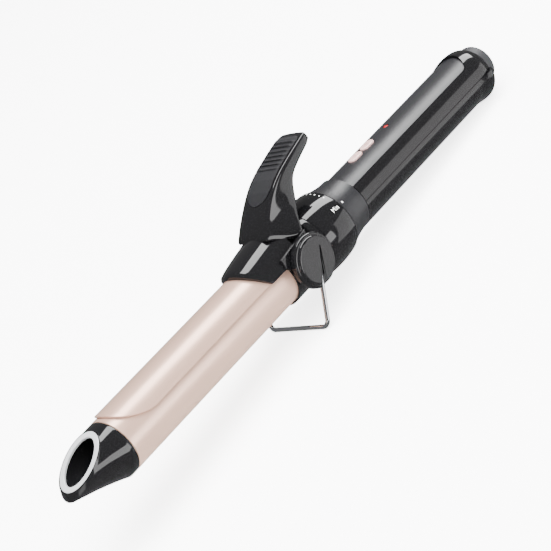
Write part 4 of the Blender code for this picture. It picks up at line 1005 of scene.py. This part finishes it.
class IRON_OT_controls(bpy.types.Operator):
    """Make the two oval buttons with their marks, and the indicator light"""
    bl_idname = "iron.controls"
    bl_label = "Buttons and light"

    def execute(self, context):
        s = sizes()
        for index, word in enumerate(("on", "off")):
            centre = s.handle_x + s.button_start + s.button_pitch * index
            top = s.crown + 0.7
            button = plate(oval(centre, s.button_length, s.button_width, 20), s.crown - 4.5, top)
            rim = [edge for edge in button.edges if all(vert.co.z > top - 0.01 for vert in edge.verts)]
            bmesh.ops.bevel(button, geom=rim, offset=0.6, affect="EDGES", segments=5, profile=0.5,
                            material=-1)
            finished(f"{word}_button_cap", button, "pearl_button_abs", f"power_{word}",
                     [f"{word}_button"])
            if word == "on":
                corners = ((-0.14, -0.8), (0.14, -0.8), (0.14, 0.8), (-0.14, 0.8))
                sign = plate([(centre + x, y) for x, y in corners], top - 0.05, top + 0.03)
            else:
                sign = place_at(turned([(-0.05, 0.5), (0.03, 0.5), (0.03, 0.76), (-0.05, 0.76)], SMALL_STEPS),
                                (centre, 0.0, top), "Z")
            finished(f"{word}_mark", sign, "printed_dark_ink", f"power_{word}")
        dome = shoulder(0.35, 1.1, 0.35, 1.1, range(0, 91, 10))
        lens = place_at(turned([(-6.0, 0.0), (-6.0, 1.1)] + dome[:-1] + [(0.35, 0.0)], SMALL_STEPS),
                        (s.handle_x + s.lens_back, 0.0, s.crown - 0.25), "Z")
        finished("light_guide", lens, "red_light_guide", "base", ["indicator_lens"])
        return {"FINISHED"}


class IRON_OT_rear(bpy.types.Operator):
    """Make the rear cord swivel and the screws under the handle"""
    bl_idname = "iron.rear"
    bl_label = "Rear swivel and screws"

    def execute(self, context):
        s = sizes()
        start, end = s.handle_end + GAP, s.handle_end + GAP + s.boss_length
        inside, stem, hole = s.handle_end - s.handle_wall - GAP, STEM_RADIUS, 3.2
        radius = s.boss_radius
        dome = shoulder(end, radius, 1.4, 1.4, range(0, 91, 10))
        boss = turned([(inside - 2.0, hole), (inside - 2.0, stem + 1.5), (inside, stem + 1.5), (inside, stem),
                       (start, stem), (start, radius - 0.25), (start + 0.25, radius)] + dome
                      + [(end, hole + 1.6), (end - 0.5, hole + 0.6), (end - 1.2, hole)], 96)
        finished("swivel_boss", boss, "moulded_nylon", "cord_swivel", ["swivel_gland"])
        for number, back in enumerate(SCREW_BACKS, 1):
            low = -s.handle_radius + 1.0
            screw = turned([(low, 0.0), (low, 2.1), (low + 0.3, 2.4), (low + 1.6, 2.4), (low + 1.6, 1.2),
                            (-1.0, 1.2), (-1.0, 0.0)], SMALL_STEPS)
            for turn in (0.0, 90.0):
                recess = bmesh.new()
                lie = Matrix.Translation((low, 0.0, 0.0)) @ Matrix.Rotation(math.radians(turn), 4, "X")
                bmesh.ops.create_cube(recess, size=1.0, matrix=lie @ Matrix.Diagonal((1.8, 2.8, 0.5, 1.0)))
                screw = combined(screw, recess)
            place_at(screw, (s.handle_x + back, 0.0, 0.0), "Z")
            finished(f"cross_head_screw_{number}", screw, "turned_steel", "base",
                     [f"handle_screw_{number}"], sharp=25.0)
        return {"FINISHED"}


class IRON_OT_inside(bpy.types.Operator):
    """Give the hidden working parts of the frame their materials"""
    bl_idname = "iron.inside"
    bl_label = "Working parts"

    def execute(self, context):
        finishes = {
            "turned_steel": ("hinge_pin_left", "hinge_pin_right", "clamp_spring", "clip_rivet_1",
                             "clip_rivet_2", "thermal_fuse"),
            "pressed_steatite": ("ceramic_heater",),
            "solder_mask": ("circuit_board",),
            "moulded_nylon": ("dial_sensor", "on_switch", "off_switch"),
        }
        for finish, names in finishes.items():
            for name in names:
                mesh = frame["nodes"][name].data
                mesh.materials.clear()
                mesh.materials.append(material_of(finish))
        return {"FINISHED"}


# Stage

class IRON_OT_stage(bpy.types.Operator):
    """Make the pale floor, the soft lights and the camera"""
    bl_idname = "iron.stage"
    bl_label = "Stage"

    def execute(self, context):
        scene = context.scene
        bm = bmesh.new()
        bmesh.ops.create_grid(bm, x_segments=1, y_segments=1, size=4.0)
        floor = loose_object("floor", bm)
        paper = bpy.data.materials.new("white_paper")
        paper.use_nodes = True
        shader = paper.node_tree.nodes["Principled BSDF"]
        shader.inputs["Base Color"].default_value = (0.92, 0.92, 0.92, 1.0)
        shader.inputs["Roughness"].default_value = 0.9
        shader.inputs["Emission Color"].default_value = (1.0, 1.0, 1.0, 1.0)
        shader.inputs["Emission Strength"].default_value = 4.0
        floor.data.materials.append(paper)
        floor.visible_glossy = False
        world = bpy.data.worlds.new("studio")
        world.use_nodes = True
        world.node_tree.nodes["Background"].inputs["Color"].default_value = (1.0, 1.0, 1.0, 1.0)
        world.node_tree.nodes["Background"].inputs["Strength"].default_value = 0.25
        scene.world = world
        self.lights()
        self.camera(scene)
        return {"FINISHED"}

    def lights(self):
        """A long soft box over the iron, cards at its visible side and tip, and broad light for the floor."""
        self.soft_box("overhead_strip", (0.62, -0.06, 0.95), (0.44, 1.5), (1, 0, 0), 14.0, True)
        self.soft_box("front_card", (0.3, -1.2, -0.2), (0.5, 0.75), (1, 0, 0), 5.5, True)
        self.soft_box("side_card", (1.28, -1.0, -0.42), (1.3, 0.95), (1, 1, 0), 1.7, True)
        self.soft_box("tip_card", (-1.2, -0.5, 0.25), (0.3, 0.8), (0, 1, 0), 2.0, True)
        self.soft_box("broad_light", (-0.3, -0.6, 2.2), (3.0, 3.0), (1, 0, 0), 16.0, False)

    def soft_box(self, name, place, extent, lengthwise, radiance, mirrored):
        """A rectangular light of a given radiance that faces the iron; only some show in polished parts."""
        width, length = extent
        lamp = bpy.data.lights.new(name, "AREA")
        lamp.shape = "RECTANGLE"
        lamp.size = width
        lamp.size_y = length
        lamp.energy = radiance * math.pi * width * length
        facing = (Vector(place) - Vector((0.0, 0.0, 0.03))).normalized()
        side = Vector(lengthwise).cross(facing).normalized()
        holder = bpy.data.objects.new(name, lamp)
        holder.matrix_world = (Matrix.Translation(place)
                               @ Matrix((side, facing.cross(side), facing)).transposed().to_4x4())
        holder.visible_glossy = mirrored
        bpy.context.scene.collection.objects.link(holder)

    def camera(self, scene):
        """A long lens that looks down along the iron from the tip's side, rolled so that the iron climbs."""
        azimuth, elevation, roll = math.radians(-36.903), math.radians(24.108), math.radians(-34.047)
        back = Vector((math.sin(azimuth) * math.cos(elevation), -math.cos(azimuth) * math.cos(elevation),
                       math.sin(elevation)))
        right = Vector((0.0, 0.0, 1.0)).cross(back).normalized()
        level = Matrix((right, back.cross(right), back)).transposed().to_4x4()
        data = bpy.data.cameras.new("camera")
        data.sensor_width = 36.0
        data.lens = 127.2
        data.clip_start = 0.01
        holder = bpy.data.objects.new("camera", data)
        target = Vector((-0.0188, -0.0068, 0.0297))
        holder.matrix_world = Matrix.Translation(target + back * 0.8) @ level @ Matrix.Rotation(roll, 4, "Z")
        scene.collection.objects.link(holder)
        scene.camera = holder


class IRON_PT_panel(bpy.types.Panel):
    """Lists the iron's pieces in the sidebar"""
    bl_idname = "IRON_PT_panel"
    bl_label = "Curling Iron"
    bl_space_type = "VIEW_3D"
    bl_region_type = "UI"
    bl_category = "Curling Iron"

    def draw(self, context):
        for operator in OPERATORS:
            self.layout.operator(operator.bl_idname)
        scene = context.scene
        for group, names in ((scene.iron_sizes, IronSizes), (scene.iron_colours, IronColours)):
            for name in names.__annotations__:
                self.layout.prop(group, name)


OPERATORS = (IRON_OT_barrel, IRON_OT_cool_tip, IRON_OT_clamp, IRON_OT_collar, IRON_OT_stand, IRON_OT_dial,
             IRON_OT_handle, IRON_OT_controls, IRON_OT_rear, IRON_OT_inside, IRON_OT_stage)


def register():
    for item in (IronSizes, IronColours, *OPERATORS, IRON_PT_panel):
        bpy.utils.register_class(item)
    bpy.types.Scene.iron_sizes = bpy.props.PointerProperty(type=IronSizes)
    bpy.types.Scene.iron_colours = bpy.props.PointerProperty(type=IronColours)


def unregister():
    del bpy.types.Scene.iron_sizes
    del bpy.types.Scene.iron_colours
    for item in reversed((IronSizes, IronColours, *OPERATORS, IRON_PT_panel)):
        bpy.utils.unregister_class(item)


def main():
    register()
    for operator in OPERATORS:
        family, name = operator.bl_idname.split(".")
        getattr(getattr(bpy.ops, family), name)()


if __name__ == "__main__":
    main()
